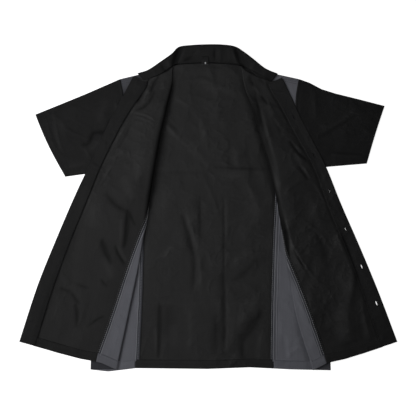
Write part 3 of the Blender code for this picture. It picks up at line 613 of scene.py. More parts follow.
FRONT_SEAM = {                    # (v, distance in the cloth from the fold to the seam)
    "right": ((0.00, 55), (0.18, 39), (0.34, 25), (0.43, 13), (0.47, 6.5), (0.51, 0), (0.64, -12),
              (0.76, -26), (0.86, -38), (0.93, -48), (1.00, -58)),
    "left": ((0.00, 37), (0.18, 34), (0.34, 8), (0.38, 1), (0.44, -1), (0.49, 0), (0.64, -12),
             (0.76, -26), (0.86, -38), (0.93, -48), (1.00, -56))}
CUFF = {                          # shoulder corner and underarm corner of each sleeve's end
    "right": ((-431.0, 232.5), (-357.0, 79.0)), "left": ((441.0, 254.0), (397.0, 112.0))}
HEM_RISE = ((0.0, 0.0), (0.15, 6.0), (0.22, 5.5), (0.38, 1.5), (0.6, 0.0))
NECKLINE_DIP = ((0.0, 0.0), (0.12, 7.0), (0.37, 13.5), (0.73, 17.0), (0.86, 10.0), (1.0, 0.0))

# %% [markdown]
# The creases of each panel.  The long line down the middle of the back and the bowed one
# beside it come from hanging; the straight ones across come from being folded in a packet.
# The two flaps have fans of small wrinkles at the shoulder, where the cloth is turned hardest.

# %% Creases of the back
BACK_CREASES = rows_of(Crease, (
    (-128, 96, -60, 98, 20, 98, 0.2, 5, 5), (-128, 88, -60, 89, 20, 88, -0.25, 5, 5),
    (14, 102, 80, 99, 152, 98, -0.8, 4, 4), (10, 86, 58, 82, 104, 84, 0.8, 9, 9),
    (40, -238, 98, -238, 156, -236, 0.6, 4, 5), (-160, -239, -70, -240, 40, -239, 0.35, 4, 5),
    (-20, 32, -20, -30, -21, -90, -1.0, 5, 5), (38, 36, 40, -60, 38, -205, -1.0, 3, 3),
    (48, 24, 49, -30, 47, -90, 0.5, 5, 8), (38, -160, 41, -270, 38, -372, -1.3, 8, 7),
    (47, -180, 50, -280, 48, -370, 0.8, 8, 8),
    (-57, 2, -37, -62, -22, -112, 1.3, 6, 6), (-22, -100, -18, -160, -17, -218, 0.9, 6, 6),
    (-65, -12, -49, -72, -36, -118, -1.3, 6, 6), (-37, -108, -35, -152, -40, -218, -0.9, 6, 6),
    (-112, -127, -99, -111, -84, -92, 1.0, 6, 8),
    (-19, 228, -9, 190, -4, 150, 0.9, 7, 8), (-42, 170, -28, 146, -10, 126, 0.8, 6, 8),
    (-26, 140, -10, 118, 10, 100, 0.6, 6, 8), (-6, 246, 4, 262, 18, 282, 0.5, 7, 9),
    (-104, 208, -92, 196, -77, 181, 1.2, 3, 4), (-96, 212, -86, 204, -74, 192, -0.8, 3, 3),
    (-82, 275, -66, 267, -44, 252, 1.0, 4, 5), (-91, 188, -60, 164, -22, 124, 0.6, 4, 5),
    (-110, 202, -88, 190, -68, 176, 0.6, 5, 7),
    (-18, 324, 28, 301, 82, 288, 0.9, 8, 12), (18, 338, 56, 320, 84, 308, 0.6, 7, 9),
    (-121, -235, -121, -310, -124, -378, -2.2, 4, 4), (-130, -296, -129, -334, -128, -378, 1.0, 5, 3),
    (-96, -236, -98, -275, -104, -318, -0.5, 16, 18), (-84, -290, -82, -320, -80, -352, 0.5, 9, 9),
    (-46, -246, -42, -304, -45, -368, 0.8, 10, 10), (18, -262, 20, -312, 17, -372, -0.8, 8, 9),
    (66, -242, 63, -300, 59, -368, 0.8, 9, 10), (84, -312, 85, -344, 88, -384, -1.0, 7, 7),
    (138, -252, 112, -292, 86, -334, -1.3, 9, 14), (118, -238, 96, -268, 74, -300, 1.2, 12, 12),
    (140, -300, 132, -342, 128, -386, 0.8, 8, 8),
    (57, -150, 85, -126, 114, -104, 1.0, 9, 11), (58, -184, 92, -162, 128, -122, -0.8, 9, 9),
    (-150, -60, -149, -130, -151, -204, 0.5, 6, 7), (96, 60, 118, 20, 128, -40, 0.6, 12, 14),
    (-96, 60, -110, 0, -104, -60, 0.6, 12, 14),
    (187, -312, 190, -345, 195, -380, -1.1, 5, 6), (198, -318, 201, -350, 206, -384, 0.8, 5, 5),
    (180, -250, 181, -300, 183, -350, 0.7, 6, 6), (176, -120, 179, -170, 181, -220, 0.6, 5, 6),
    (-232, -318, -238, -348, -243, -384, -1.1, 5, 6), (-222, -310, -226, -345, -230, -380, 0.8, 5, 5),
))

# %% Creases of the two flaps
RIGHT_FLAP_CREASES = rows_of(Crease, (
    (-122, 329, -134, 310, -145, 279, -1.8, 3, 3), (-128, 330, -140, 320, -150, 306, 1.3, 3, 3),
    (-144, 304, -154, 284, -163, 261, 1.8, 3, 4), (-132, 296, -148, 262, -180, 243, -1.5, 3, 4),
    (-153, 316, -164, 292, -180, 250, -1.2, 3, 3), (-152, 297, -148, 291, -146, 284, 1.0, 6, 6),
    (-114, 316, -112, 306, -112, 296, 0.9, 7, 7), (-172, 262, -184, 246, -192, 236, 1.0, 3, 4),
    (-191, 239, -158, 232, -124, 214, 1.1, 3, 4), (-187, 229, -154, 222, -128, 204, 0.9, 3, 4),
    (-190, 234, -156, 227, -126, 209, -0.8, 2.5, 2.5), (-182, 214, -160, 212, -140, 202, 0.6, 3, 4),
    (-195, 221, -214, 190, -232, 154, 1.1, 3, 4), (-188, 212, -204, 182, -222, 150, -0.8, 3, 4),
    (-230, 113, -244, 98, -258, 77, 0.9, 3, 4), (-206, 150, -222, 134, -250, 124, 0.7, 3, 5),
    (-196, 206, -176, 190, -150, 182, 0.7, 7, 8),
    (-258, 38, -230, 8, -204, -8, -1.0, 6, 6), (-201, -2, -201, -42, -209, -100, -2.1, 5, 5),
    (-216, -26, -216, -62, -219, -96, 0.8, 5, 4), (-194, -8, -189, -26, -179, -45, -0.9, 3, 3),
    (-266, -76, -254, -108, -241, -142, -1.6, 6, 7), (-258, -120, -248, -146, -238, -178, 0.8, 7, 8),
    (-232, -92, -222, -116, -206, -142, -1.3, 3, 4), (-224, -92, -214, -114, -200, -134, 0.9, 4, 4),
    (-371, -198, -356, -205, -340, -212, -0.8, 4, 5), (-341, -211, -331, -226, -320, -242, -0.9, 5, 5),
    (-332, -238, -326, -262, -328, -302, -1.2, 4, 6), (-258, -270, -278, -280, -300, -298, -1.0, 3, 3),
    (-328, -188, -312, -196, -296, -200, -0.7, 4, 4), (-268, -176, -261, -186, -251, -197, -0.9, 3, 3),
    (-300, 40, -286, -6, -288, -50, 0.8, 14, 16),
    (-214, 80, -196, 52, -190, 20, 0.9, 10, 12), (-176, 150, -170, 112, -176, 70, 0.8, 10, 12),
))
LEFT_FLAP_CREASES = rows_of(Crease, (
    (124, 256, 149, 190, 167, 110, 1.0, 8, 9), (165, 120, 173, 76, 179, 40, 1.1, 7, 8),
    (116, 296, 126, 252, 136, 200, -1.2, 6, 7), (140, 268, 160, 232, 176, 196, 0.9, 7, 9),
    (210, 150, 228, 124, 250, 94, 1.0, 5, 7), (226, 186, 236, 166, 246, 146, 0.8, 5, 6),
    (200, 128, 216, 104, 236, 80, 0.7, 5, 7),
    (205, -72, 222, -112, 262, -168, 1.8, 5, 4), (212, -96, 232, -134, 256, -172, -1.8, 4, 4),
    (176, 15, 196, -40, 208, -76, 1.4, 6, 5),
    (253, 37, 272, -14, 292, -74, 1.2, 12, 12), (326, -62, 348, -106, 364, -150, 5.0, 9, 22),
    (363, -140, 362, -190, 350, -250, 5.5, 12, 26), (272, -64, 290, -105, 297, -150, -0.9, 12, 10),
    (221, 158, 229, 149, 237, 140, 1.4, 3, 4), (186, 187, 196, 178, 206, 169, 0.8, 2.5, 3),
    (203, 171, 226, 139, 249, 121, -1.6, 3, 4), (217, 137, 230, 126, 243, 115, 0.9, 3, 5),
    (226, 104, 240, 86, 251, 69, -1.3, 4, 4), (231, 112, 243, 96, 256, 77, 0.9, 3, 5),
    (126, 325, 135, 317, 143, 311, -1.3, 3, 4), (113, 308, 122, 296, 132, 282, 0.6, 4, 5),
    (132, 281, 141, 270, 151, 257, -1.2, 4, 4), (147, 266, 158, 250, 168, 232, 0.8, 4, 5),
    (104, 332, 108, 318, 116, 306, -1.0, 4, 4), (160, 226, 172, 206, 182, 190, -1.0, 4, 5),
    (218, -124, 236, -149, 255, -172, 1.3, 7, 9), (206, -60, 218, -96, 236, -124, 0.9, 9, 11),
    (384, -232, 394, -285, 406, -330, 1.6, 6, 7), (252, -180, 258, -250, 272, -322, 1.2, 14, 8),
    (351, -238, 350, -285, 362, -334, 4.4, 14, 26),
))

# %% Creases of the sleeves and the collar
RIGHT_SLEEVE_CREASES = rows_of(Crease, (
    (-247, 224, -249, 206, -256, 190, -1.0, 4, 5), (-254, 190, -270, 189, -288, 187, -1.2, 4, 5),
    (-284, 190, -290, 177, -294, 164, -1.3, 4, 5), (-290, 166, -302, 160, -316, 156, -0.8, 4, 5),
    (-262, 176, -284, 152, -308, 142, 1.0, 7, 9), (-230, 266, -228, 248, -231, 230, 1.0, 3, 4),
    (-250, 276, -262, 244, -272, 212, 0.9, 8, 9), (-300, 114, -328, 108, -356, 100, 0.8, 5, 7),
    (-386, 244, -371, 166, -346, 98, 0.9, 4, 5), (-367, 152, -357, 124, -344, 97, -0.8, 3, 4),
    (-340, 250, -360, 216, -366, 180, 0.5, 16, 18),
))
LEFT_SLEEVE_CREASES = rows_of(Crease, (
    (376, 240, 326, 208, 270, 178, 1.2, 6, 9), (378, 234, 324, 202, 276, 174, -1.5, 4, 6),
    (308, 134, 350, 131, 398, 127, 1.1, 4, 5), (300, 140, 344, 138, 390, 136, -0.8, 3, 4),
    (352, 268, 376, 240, 420, 214, 0.6, 12, 14), (262, 300, 268, 262, 266, 220, 1.0, 8, 9),
    (278, 210, 292, 206, 310, 202, 0.7, 4, 5),
))
COLLAR_CREASES = rows_of(Crease, (
    (-66, 404, -76, 380, -86, 352, -3.0, 6, 7), (70, 402, 78, 380, 88, 350, -2.6, 7, 7),
    (-56, 400, -64, 380, -74, 362, 0.9, 4, 5), (60, 400, 66, 380, 74, 362, 0.9, 4, 5),
    (18, 400, 16, 384, 17, 366, -1.0, 4, 4), (30, 402, 29, 386, 30, 368, 0.8, 5, 5),
    (-26, 396, -44, 378, -62, 366, -1.1, 4, 5), (-16, 398, -32, 386, -52, 380, 0.9, 5, 5),
    (-118, 362, -112, 350, -108, 338, -0.8, 5, 5), (-104, 372, -98, 360, -96, 350, 0.8, 5, 5),
    (118, 366, 112, 352, 108, 342, 0.8, 6, 6), (-140, 345, -134, 336, -128, 330, 0.6, 5, 5),
    (52, 400, 54, 384, 52, 366, 0.6, 6, 6),
))


# %% One half of the front, as a formula
Cut = namedtuple("Cut", "fold out back roll crown under low_turn top_turn flap facing")


class Half(namedtuple("Half", "word side front_rows sides armhole back_seam flap_creases seed")):
    """One half of the shirt: side is -1 or 1, and the tables are the marks of the layout.

    Points on the table are complex numbers, x + iy."""

    def outline(self, v):
        """Side fold up to the underarm, armhole above it."""
        return np.where(v <= UNDERARM, place_in(self.sides, v), place_in(self.armhole, v))

    def seam(self, v):
        """Where the grey side joins the black front, measured in the cloth from the fold."""
        return curve(*zip(*FRONT_SEAM[self.word]), np.minimum(v, 1.0))

    def cut(self, v):
        """The sizes of a section across the front at v.

        A roll has PRESSED of its marked radius at the hem and the neck, and FULL of it by the
        chest, where its upper quarter is drawn out to CROWN radii."""
        v = np.minimum(v, 1.0)
        fold, edge = (place_in(self.front_rows, v, name) for name in ("fold_", "edge_"))
        side = self.outline(v)
        roll, facing = column(self.front_rows, "roll", v), column(self.front_rows, "facing", v)
        soft = ramp(1.0, 0.85, v) * ramp(0.34, 0.58, v)
        roll = roll * (PRESSED + (FULL - PRESSED) * soft)
        crown = roll * (1 + (CROWN - 1) * soft)
        inset = np.where(v <= UNDERARM, FLAT_FOLD, GAP / 2)
        return Cut(fold, (side - fold) / abs(side - fold), (edge - fold) / abs(edge - fold), roll,
                   crown, abs(side - fold) - roll - inset, roll * math.pi / 2,
                   np.sqrt((roll ** 2 + crown ** 2) / 2) * math.pi / 2,
                   abs(edge - fold) - crown - facing, facing)

    def across(self, zone, share, v):
        """Distance in the cloth from the fold to a share of one zone of the front."""
        cut = self.cut(v)
        side_turn = np.where(v <= UNDERARM, math.pi * FLAT_FOLD, 0.0)
        return {"side": -cut.low_turn - cut.under - share * side_turn,
                "flap": cut.top_turn + cut.flap * share,
                "facing": cut.top_turn + cut.flap + cut.facing * share}[zone]

    def over_body(self, x, y):
        """1 over the body and the sleeve, 0 where the flap lies on the table."""
        side_x = line([(row.y, abs(row.x)) for row in self.sides], y)
        underarm, corner = self.sides[-1], CUFF[self.word][1]
        sleeve_y = np.interp(abs(x), [abs(underarm.x), abs(corner[0])], [underarm.y, corner[1]])
        return np.maximum(ramp(55, 20, abs(x) - side_x), ramp(-55, -20, y - sleeve_y))

    def front(self, s, v):
        """Where the thread s of row v lies.  s is 0 on the fold, + on the flap, - as worn.

        worn: fold + out * reach, then a half turn of radius FLAT_FOLD round the side;
        roll: z = PLY_1 + roll (1 + sin b), a quarter circle below and above it a quarter of an
        ellipse that reaches crown far, because the flap's weight draws it out;
        flap: fold + back * reach, sinking evenly from the top of the roll to its rest."""
        s, v = np.broadcast_arrays(s, v)
        cut = self.cut(v)
        angle = np.clip((-s - cut.low_turn - cut.under) / FLAT_FOLD, 0.0, math.pi)
        reach = cut.roll + np.minimum(-s - cut.low_turn, cut.under) + FLAT_FOLD * np.sin(angle)
        turn = np.clip(v - 1.0, 0.0, 1.0) * math.pi
        worn = cut.fold + cut.out * reach + 1j * FLAT_FOLD * np.sin(turn)
        worn_z = PLY_1 - FLAT_FOLD * (1 - np.cos(np.maximum(angle, turn)))
        above = s > 0
        bend = np.clip(s / np.where(above, cut.top_turn, cut.low_turn), -1.0, 1.0) * math.pi / 2
        rolled = cut.fold + np.where(above, cut.back * cut.crown, cut.out * cut.roll) * (1 - np.cos(bend))
        rolled_z = PLY_1 + cut.roll * (1 + np.sin(bend))
        reach, width = cut.crown + s - cut.top_turn, cut.crown + cut.flap + cut.facing
        flap = cut.fold + cut.back * reach
        flap = flap - 1j * line(NECKLINE_DIP, reach / width) * ramp(0.80, 1.0, v)
        flap = flap + 1j * line(HEM_RISE, reach / width) * ramp(0.14, 0.0, v)
        flap_z = self.flap_height(flap.real, flap.imag, v, s - cut.top_turn, width - reach, cut)
        zones = [s >= cut.top_turn, s <= -cut.low_turn]
        return xyz(np.select(zones, [flap, worn], rolled), np.select(zones, [flap_z, worn_z], rolled_z))

    def flap_height(self, x, y, v, from_fold, from_edge, cut):
        """Rest height, from what lies underneath, plus the roll's fall, creases and unevenness.

        The fall is (top - rest) (1 - 1.12 t^2 / (t + 0.12)), where t goes from 0 at the fold to 1
        where the flap has come to lie down.  A groove 0.9 deep runs along the facing's rim."""
        rest = PLY_0 + (PLY_2 - PLY_0) * self.over_body(x, y) + PLY * ramp(0.86, 0.93, v)
        if self.word == ON_BUTTONS:
            rest = rest + BUTTON_HEIGHT * ramp(2 * BUTTON_RISE, BUTTON_RISE, from_edge)
        top = PLY_1 + 2 * cut.roll
        share = np.clip(from_fold / (SETTLE * (cut.flap + cut.facing)), 0, 1)
        settle = 1 - share ** 2 / (share + 0.12) * 1.12
        high = rest + np.maximum(top - rest, 0.0) * settle
        groove = np.exp(-((from_edge - cut.facing - 2.0) / 3.0) ** 2)
        high = high - 0.9 * groove * self.over_body(x, y) * ramp(1.0, 0.97, v)
        ease = ramp(0, 12, from_fold) * ramp(0, 16, from_edge - 0.75 * cut.facing) * ramp(1.0, 0.96, v)
        high = high + ease * creases(self.flap_creases, x, y)
        rough = (unevenness(x, y, self.seed, 0.5, 0.16, 0.25)
                 + 1.5 * crinkle(x, y, self.seed + 200, 1.8, self.side * 0.5))
        return high + ramp(0, 20, from_fold) * ramp(-4, 14, from_edge) * rough


RIGHT = Half("right", -1, RIGHT_FRONT, RIGHT_SIDE, RIGHT_ARMHOLE, RIGHT_BACK_SEAM,
             RIGHT_FLAP_CREASES, 11)
LEFT = Half("left", 1, LEFT_FRONT, LEFT_SIDE, LEFT_ARMHOLE, LEFT_BACK_SEAM,
            LEFT_FLAP_CREASES, 23)
HALVES = (RIGHT, LEFT)
for half in HALVES:
    hem = half.cut(0.0)
    print(f"{half.word} flap is {hem.flap + hem.facing:.0f} mm wide at the hem")

# %% [markdown]
# ## The fronts
#
# A front is two panels, grey from the side fold to a curved seam and black from there to the
# front edge.  Both are strips of one surface, so they meet along the seam.  The grid is finer
# near the fold: its columns are even in c, and s = c - pinch * tanh(c / reach) packs them.

# %% Columns packed towards the fold
STEP = 2.7                       # spacing of the grid in the open cloth
PINCH, PINCH_REACH = 10.0, 14.0
PACKED = np.linspace(-700, 700, 5601)
OPEN = PACKED - PINCH * np.tanh(PACKED / PINCH_REACH)


def packed_columns(start, stop, count):
    """s from start to stop in count columns, where s = c - PINCH tanh(c / PINCH_REACH)."""
    first, last = np.interp(start, OPEN, PACKED), np.interp(stop, OPEN, PACKED)
    c = first[:, None] + (last - first)[:, None] * np.linspace(0, 1, count)
    return c - PINCH * np.tanh(c / PINCH_REACH)


HEM_TO_NECK = 760.0              # along the cloth, so that v is a length too
BODY_V = np.linspace(0.0, 1.0, int(HEM_TO_NECK / STEP) + 1)
SHOULDER_V = np.concatenate((BODY_V, 1.0 + np.array([0.25, 0.5, 0.75, 1.0])))


def pattern_uv(s, v):
    """UV of a panel: s across, and v times the length from hem to neck."""
    return np.stack(np.broadcast_arrays(s, v * HEM_TO_NECK), -1)


# the height of a crease at its palest, and the floor of the painted shade in its valleys
CREASE_TONE_HEIGHT, DEEPEST_CREASE_SHADE = 2.0, -0.45


def crease_wear_and_shade(table, points):
    """Crease tone: the creases' height over the palest height, held between the deepest painted shade and 1;
    above 0 ridges are worn and given painted highlight, below 0 valleys get painted shade.
    """
    return np.clip(creases(table, points[..., 0], points[..., 1]) / CREASE_TONE_HEIGHT, DEEPEST_CREASE_SHADE, 1.0)


# %% Painted shade and highlight beside the folds
# (v, how wide the wall of the left front's fold is seen)
WALL_WIDTH = ((0.30, 5.0), (0.33, 6.0), (0.36, 8.0), (0.395, 13.0), (0.43, 19.0), (0.46, 18.0),
              (0.50, 14.0), (0.56, 9.0), (0.62, 8.0), (0.66, 14.0), (0.73, 19.0), (0.80, 20.0),
              (0.86, 17.0))


def fold_shade_and_highlight(half, s, v):
    """Painted shade below 0 on the wall of the fold, which the room's light hardly reaches, and painted
    highlight above 0 on its crest.

    d is the distance from the fold.  Right: -0.9 exp(-(d / w)^2).  Left: from -0.9 at the fold to
    0 at the wall's width, the steeper the lower it is, and a crest 4 mm wide just beyond; near
    the hem, where the fold is pressed, -0.55 exp(-((d - 1) / 4)^2) instead."""
    cut = half.cut(v)
    bend = np.clip(s / cut.top_turn, 0, 1) * math.pi / 2
    from_fold = cut.crown * (1 - np.cos(bend)) + np.maximum(s - cut.top_turn, 0)
    if half.side < 0:
        width = 2.6 + 4.4 * ramp(0.40, 0.60, v)
        return -0.9 * np.exp(-(from_fold / width) ** 2) * ramp(1.0, 0.9, v)
    width = line(WALL_WIDTH, v)
    steep = 0.35 + 0.65 * ramp(0.50, 0.62, v)
    wall = np.clip((width - from_fold) / (width * steep), 0.0, 1.0) * ramp(0.26, 0.33, v)
    crest = np.exp(-((from_fold - width - 2.0) / 4.0) ** 2) * ramp(0.28, 0.36, v)
    pressed = np.exp(-((from_fold - 1.0) / 4.0) ** 2) * ramp(0.33, 0.27, v)
    return (0.2 * crest - 0.9 * wall) * ramp(0.96, 0.84, v) - 0.55 * pressed


def flap_painted_shade(half, s, v):
    """Painted shade.  Right flap: -0.10 - 0.15 exp(-((s - 38) / 30)^2) up to the chest.

    Left flap: -0.35 exp(-((s - 52) / 26)^2 - ((v - 0.15) / 0.08)^2), a darker patch by the seam."""
    if half.side > 0:
        return -0.35 * np.exp(-((s - 52.0) / 26.0) ** 2 - ((v - 0.15) / 0.08) ** 2)
    inner = np.exp(-((s - 38.0) / 30.0) ** 2)
    return -(0.10 + 0.15 * inner) * ramp(0.72, 0.56, v)


def rim_hollow(half, s, v):
    """Below 0 in the shade beside the raised rim of the facing."""
    from_rim = half.across("facing", 0.0, v) - s
    return -0.4 * np.exp(-((from_rim - 1.0) / 1.8) ** 2)


# %% The two panels of each front
def make_front(half):
    """The black and the grey panel of one front, parted at the seam."""
    flip = half.side < 0
    v, row = BODY_V, BODY_V[:, None]
    s = packed_columns(half.seam(v) + GAP / 2, half.across("facing", 1.0, v) - 0.8, count=86)
    points = half.front(s, row)
    # worn: the creases' wear with painted highlight and shade, painted shade and highlight at the fold,
    # painted shade beside the facing's rim, and painted shade over the flap
    worn = (crease_wear_and_shade(half.flap_creases, points) + fold_shade_and_highlight(half, s, row) + rim_hollow(half, s, row)
            + flap_painted_shade(half, s, row))
    black = cloth(f"front_{half.word}_cloth", points, pattern_uv(s, row), BLACK, worn=worn, flip=flip)

    v, row = SHOULDER_V, SHOULDER_V[:, None]
    s = packed_columns(half.across("side", 1.0, v), half.seam(v) - GAP / 2, count=58)
    under = s < -half.cut(row).low_turn
    keep = (row[1:] <= 1.0) | (under[1:, 1:] & under[:-1, :-1])
    # Painted light on the left front's bit of shoulder, which lies in the shade of the flap and where the
    # lamp's light falls off, and a little painted shade on the right one's; the left front's grey on its flap
    # is painted lighter.
    shoulder = (0.85 + 1.15 * half.side) * ramp(0.85, 0.90, row) * under
    rubbed = 0.5 * (half.side > 0) * ~under
    grey = cloth(f"front_side_{half.word}_cloth", half.front(s, row), pattern_uv(s, row), GREY,
                 flip=flip, keep=keep, worn=fold_shade_and_highlight(half, s, row) + shoulder + rubbed)
    return black, grey


FRONTS = {half.word: make_front(half) for half in HALVES}
print("front panels:", ", ".join(piece.name for pair in FRONTS.values() for piece in pair))

# %% [markdown]
# ## The back
#
# Three panels again, black between two grey sides.  The back is the lowest ply, so its creases
# only ever rise from the table.  At the neck it lies on the fall of the collar.

# %% The back as a formula
BACK_TOP = ((-220.0, 321.0), (-92.0, 352.5), (-86.0, 361.5), (-57.0, 364.5), (-7.0, 366.5),
            (42.0, 365.0), (82.0, 361.5), (88.0, 352.5), (228.0, 321.0))
BACK_HEM = ((-294.0, -403.0), (-249.0, -408.0), (-180.0, -399.5), (0.0, -401.5),
            (105.0, -397.5), (204.0, -402.5), (307.0, -405.0))


def fold_x(half, y):
    """x of the line where a front turns back, at y."""
    return line([(row.fold_y, row.fold_x) for row in half.front_rows], y)


def back(x, v):
    """y follows the line across from side to side, bent to the neckline and the hem.

    z = PLY_0 + creases + unevenness, faded near the fronts' folds, and one ply up on the
    collar's fall: + PLY * ramp in y * ramp in |x|."""
    x, v = np.broadcast_arrays(x, v)
    ends = [(RIGHT.outline(row), LEFT.outline(row)) for row in (v, 1.0, 0.0)]
    level, neck, hem = (a.imag + (b.imag - a.imag) * (x - a.real) / (b.real - a.real) for a, b in ends)
    y = level + ramp(UNDERARM, 1.0, v) * (line(BACK_TOP, x) - neck)
    y = y + ramp(0.12, 0.0, v) * (line(BACK_HEM, x) - hem)
    inner = np.minimum(x - fold_x(RIGHT, y), fold_x(LEFT, y) - x)
    clear = ramp(2.0, 16.0, inner) * ramp(358.0, 346.0, y)
    rough = creases(BACK_CREASES, x, y) + unevenness(x, y, 5, 0.4, 0.16, 0.22) + 1.5 * crinkle(x, y, 300)
    over_fall = ramp(329.0, 345.0, y) * ramp(78.0, 60.0, abs(x))
    return np.stack((x, y, PLY_0 + clear * np.maximum(rough, 0.0) + PLY * over_fall), axis=-1)


def back_seam(half, v):
    """x of the seam between the black back and its grey side."""
    return curve(*zip(*half.back_seam), v)


def back_edge(half, v):
    """Outer edge of the back: just inside the side fold, or at the armhole."""
    inset = np.where(v <= UNDERARM, FLAT_FOLD + GAP, GAP / 2)
    return half.outline(v).real - half.side * inset


def beside_folds(x, y):
    """The back's shade: about 1 at a front's fold, and 0 past the fold's own reach, right or left."""
    right = 5.0 + 8.0 * ramp(-15.0, 5.0, y) + 13.0 * ramp(20.0, 55.0, y) - 10.0 * ramp(150.0, 300.0, y)
    left = 5.0 + 11.0 * ramp(-40.0, 60.0, y) + 24.0 * ramp(-255.0, -335.0, y)
    depth = (1.05 - 0.27 * ramp(-60.0, 30.0, y)) * ramp(352.0, 300.0, y)
    beside = np.maximum(ramp(right, 0.0, x - fold_x(RIGHT, y)), 0.8 * ramp(left, 0.0, fold_x(LEFT, y) - x))
    return depth * beside


# %% The three panels of the back
def make_back(name, start, stop, columns, finishes, rubbed=0.0):
    """Columns at even steps from start(v) to stop(v)."""
    v = BODY_V[:, None]
    x = start(v) + (stop(v) - start(v)) * np.linspace(0, 1, columns)
    points = back(x, v)
    # worn: the creases' wear with painted highlight and shade, less the painted shade beside the fronts'
    # folds, plus any painted light given
    worn = crease_wear_and_shade(BACK_CREASES, points) - beside_folds(points[..., 0], points[..., 1]) + rubbed
    return cloth(name, points, pattern_uv(x, v), finishes, worn=worn)


BACKS = [
    make_back("back_centre_cloth", lambda v: back_seam(RIGHT, v) + GAP / 2,
              lambda v: back_seam(LEFT, v) - GAP / 2, 120, BLACK),
    make_back("back_side_right_cloth", lambda v: back_edge(RIGHT, v),
              lambda v: back_seam(RIGHT, v) - GAP / 2, 40, GREY),
    # the left grey side is painted lighter all over, where the lamp's light falls off
    make_back("back_side_left_cloth", lambda v: back_seam(LEFT, v) + GAP / 2,
              lambda v: back_edge(LEFT, v), 42, GREY, 0.4),
]
print("back panels:", ", ".join(piece.name for piece in BACKS))

# %% [markdown]
# ## The sleeves
#
# A set-in sleeve is a short tube.  Laid down it is pressed flat, with one fold along the
# shoulder and one along the underarm.  Rings of the tube run round through both folds, and
# steps run from the armhole out to the cuff.

# %% The sleeve as a formula
CUFF_BOW = {"right": 4.0, "left": -1.5}
SLEEVE_DIP = {"right": ((0.0, 0.0), (0.4, 1.5), (1.0, 0.0)),
              "left": ((0.0, 0.0), (0.12, 1.0), (0.26, 7.5), (0.42, 7.5), (0.7, 3.5), (1.0, 0.0))}
SLEEVE_CREASES = {"right": RIGHT_SLEEVE_CREASES, "left": LEFT_SLEEVE_CREASES}
ARMHOLE_LAP, ARMHOLE_RISE = 2.0, 0.9     # the sleeve's head laps over the body
PUFF, CUFF_PUFF = 0.5, 1.4               # how high the upper layer stands, and how much more at the cuff


def sleeve_surface(half):
    """Returns sleeve(r, step).  r runs round the tube: 0..1 over the upper half from underarm
    to shoulder, 1..2 round the shoulder fold, 2..3 back underneath, 3..4 round the other fold."""
    top, bottom = (complex(*corner) for corner in CUFF[half.word])

    def sleeve(r, step):
        """Armhole + (cuff - armhole) * step, and a half circle of radius FLAT_FOLD at each fold.

        The upper layer rises by sin(pi share) (PUFF + CUFF_PUFF step^2), plus its creases."""
        r, step = np.broadcast_arrays(np.asarray(r, float) % 4.0, step)
        zones = [r < 1, r < 2, r < 3]
        share = np.select(zones, [1 - r, 0 * r, r - 2], 1.0)
        turn = np.select(zones, [0 * r, r - 1, 1 + 0 * r], 4 - r) * math.pi
        edge = np.select(zones, [0 * r, 1 + 0 * r, 0 * r], -1.0)
        upper = r < 1
        v = 1.0 - share * (1.0 - UNDERARM)
        start, stop = half.outline(np.maximum(v, UNDERARM + 1e-6)), top + (bottom - top) * share
        way = (stop - start) / abs(stop - start)
        lap = ramp(0.02, 0.0, step) * upper
        on = (GAP / 2 * (1 - step) + CUFF_BOW[half.word] * np.sin(math.pi * share) * step
              - ARMHOLE_LAP * lap)
        place = start + (stop - start) * step + way * on
        place = place - 1j * line(SLEEVE_DIP[half.word], step) * (1 - share) ** 2
        place = place + 1j * way * (edge * half.side * FLAT_FOLD * np.sin(turn))
        flat = FLAT_FOLD * (1 + np.cos(turn))
        puff = np.sin(math.pi * share) * (PUFF + CUFF_PUFF * step ** 2)
        soft = ramp(0.0, 0.12, share) * ramp(1.0, 0.90, share) * ramp(0.0, 0.06, step)
        rough = (creases(SLEEVE_CREASES[half.word], place.real, place.imag) * ramp(1.0, 0.88, step)
                 + unevenness(place.real, place.imag, half.seed + 40, 0.5, 0.10)
                 + crinkle(place.real, place.imag, half.seed + 400))
        high = PLY_0 + flat + np.where(upper, puff + soft * np.maximum(rough, 0.0), 0.0)
        return xyz(place, high + ARMHOLE_RISE * lap)

    return sleeve


SLEEVE_RING = stages(75, 6, 39, 6)
SLEEVE_LENGTH, SLEEVE_DEPTH = 227.0, 235.0       # along the arm, and across one layer
SLEEVE = {half.word: sleeve_surface(half) for half in HALVES}


def make_sleeve(half):
    """The tube as one closed grid.  The left sleeve is painted paler towards its cuff, as painted light where
    the lamp's light falls off.
    """
    ring, step = np.meshgrid(SLEEVE_RING, np.linspace(0, 1, 92))
    points = SLEEVE[half.word](ring, step)
    uv = np.stack((ring * SLEEVE_DEPTH, step * SLEEVE_LENGTH), -1)
    worn = crease_wear_and_shade(SLEEVE_CREASES[half.word], points) * (ring < 1)
    worn = worn + 0.35 * ramp(0.0, 0.6, step) * (half.side > 0)
    return cloth(f"sleeve_{half.word}_cloth", points, uv, TURNED_BLACK, worn=worn,
                 ring=True, flip=half.side > 0)


SLEEVES = [make_sleeve(half) for half in HALVES]
print("sleeves:", ", ".join(piece.name for piece in SLEEVES))

# %% [markdown]
# ## The collar
#
# A one-piece convertible collar: its standing part lies on the neck seam, rolls over at the
# back, and its fall lies underneath, behind the neck.  We see the standing part.  Where it
# turns from the back of the neck to the front it breaks into a short, deep crease.

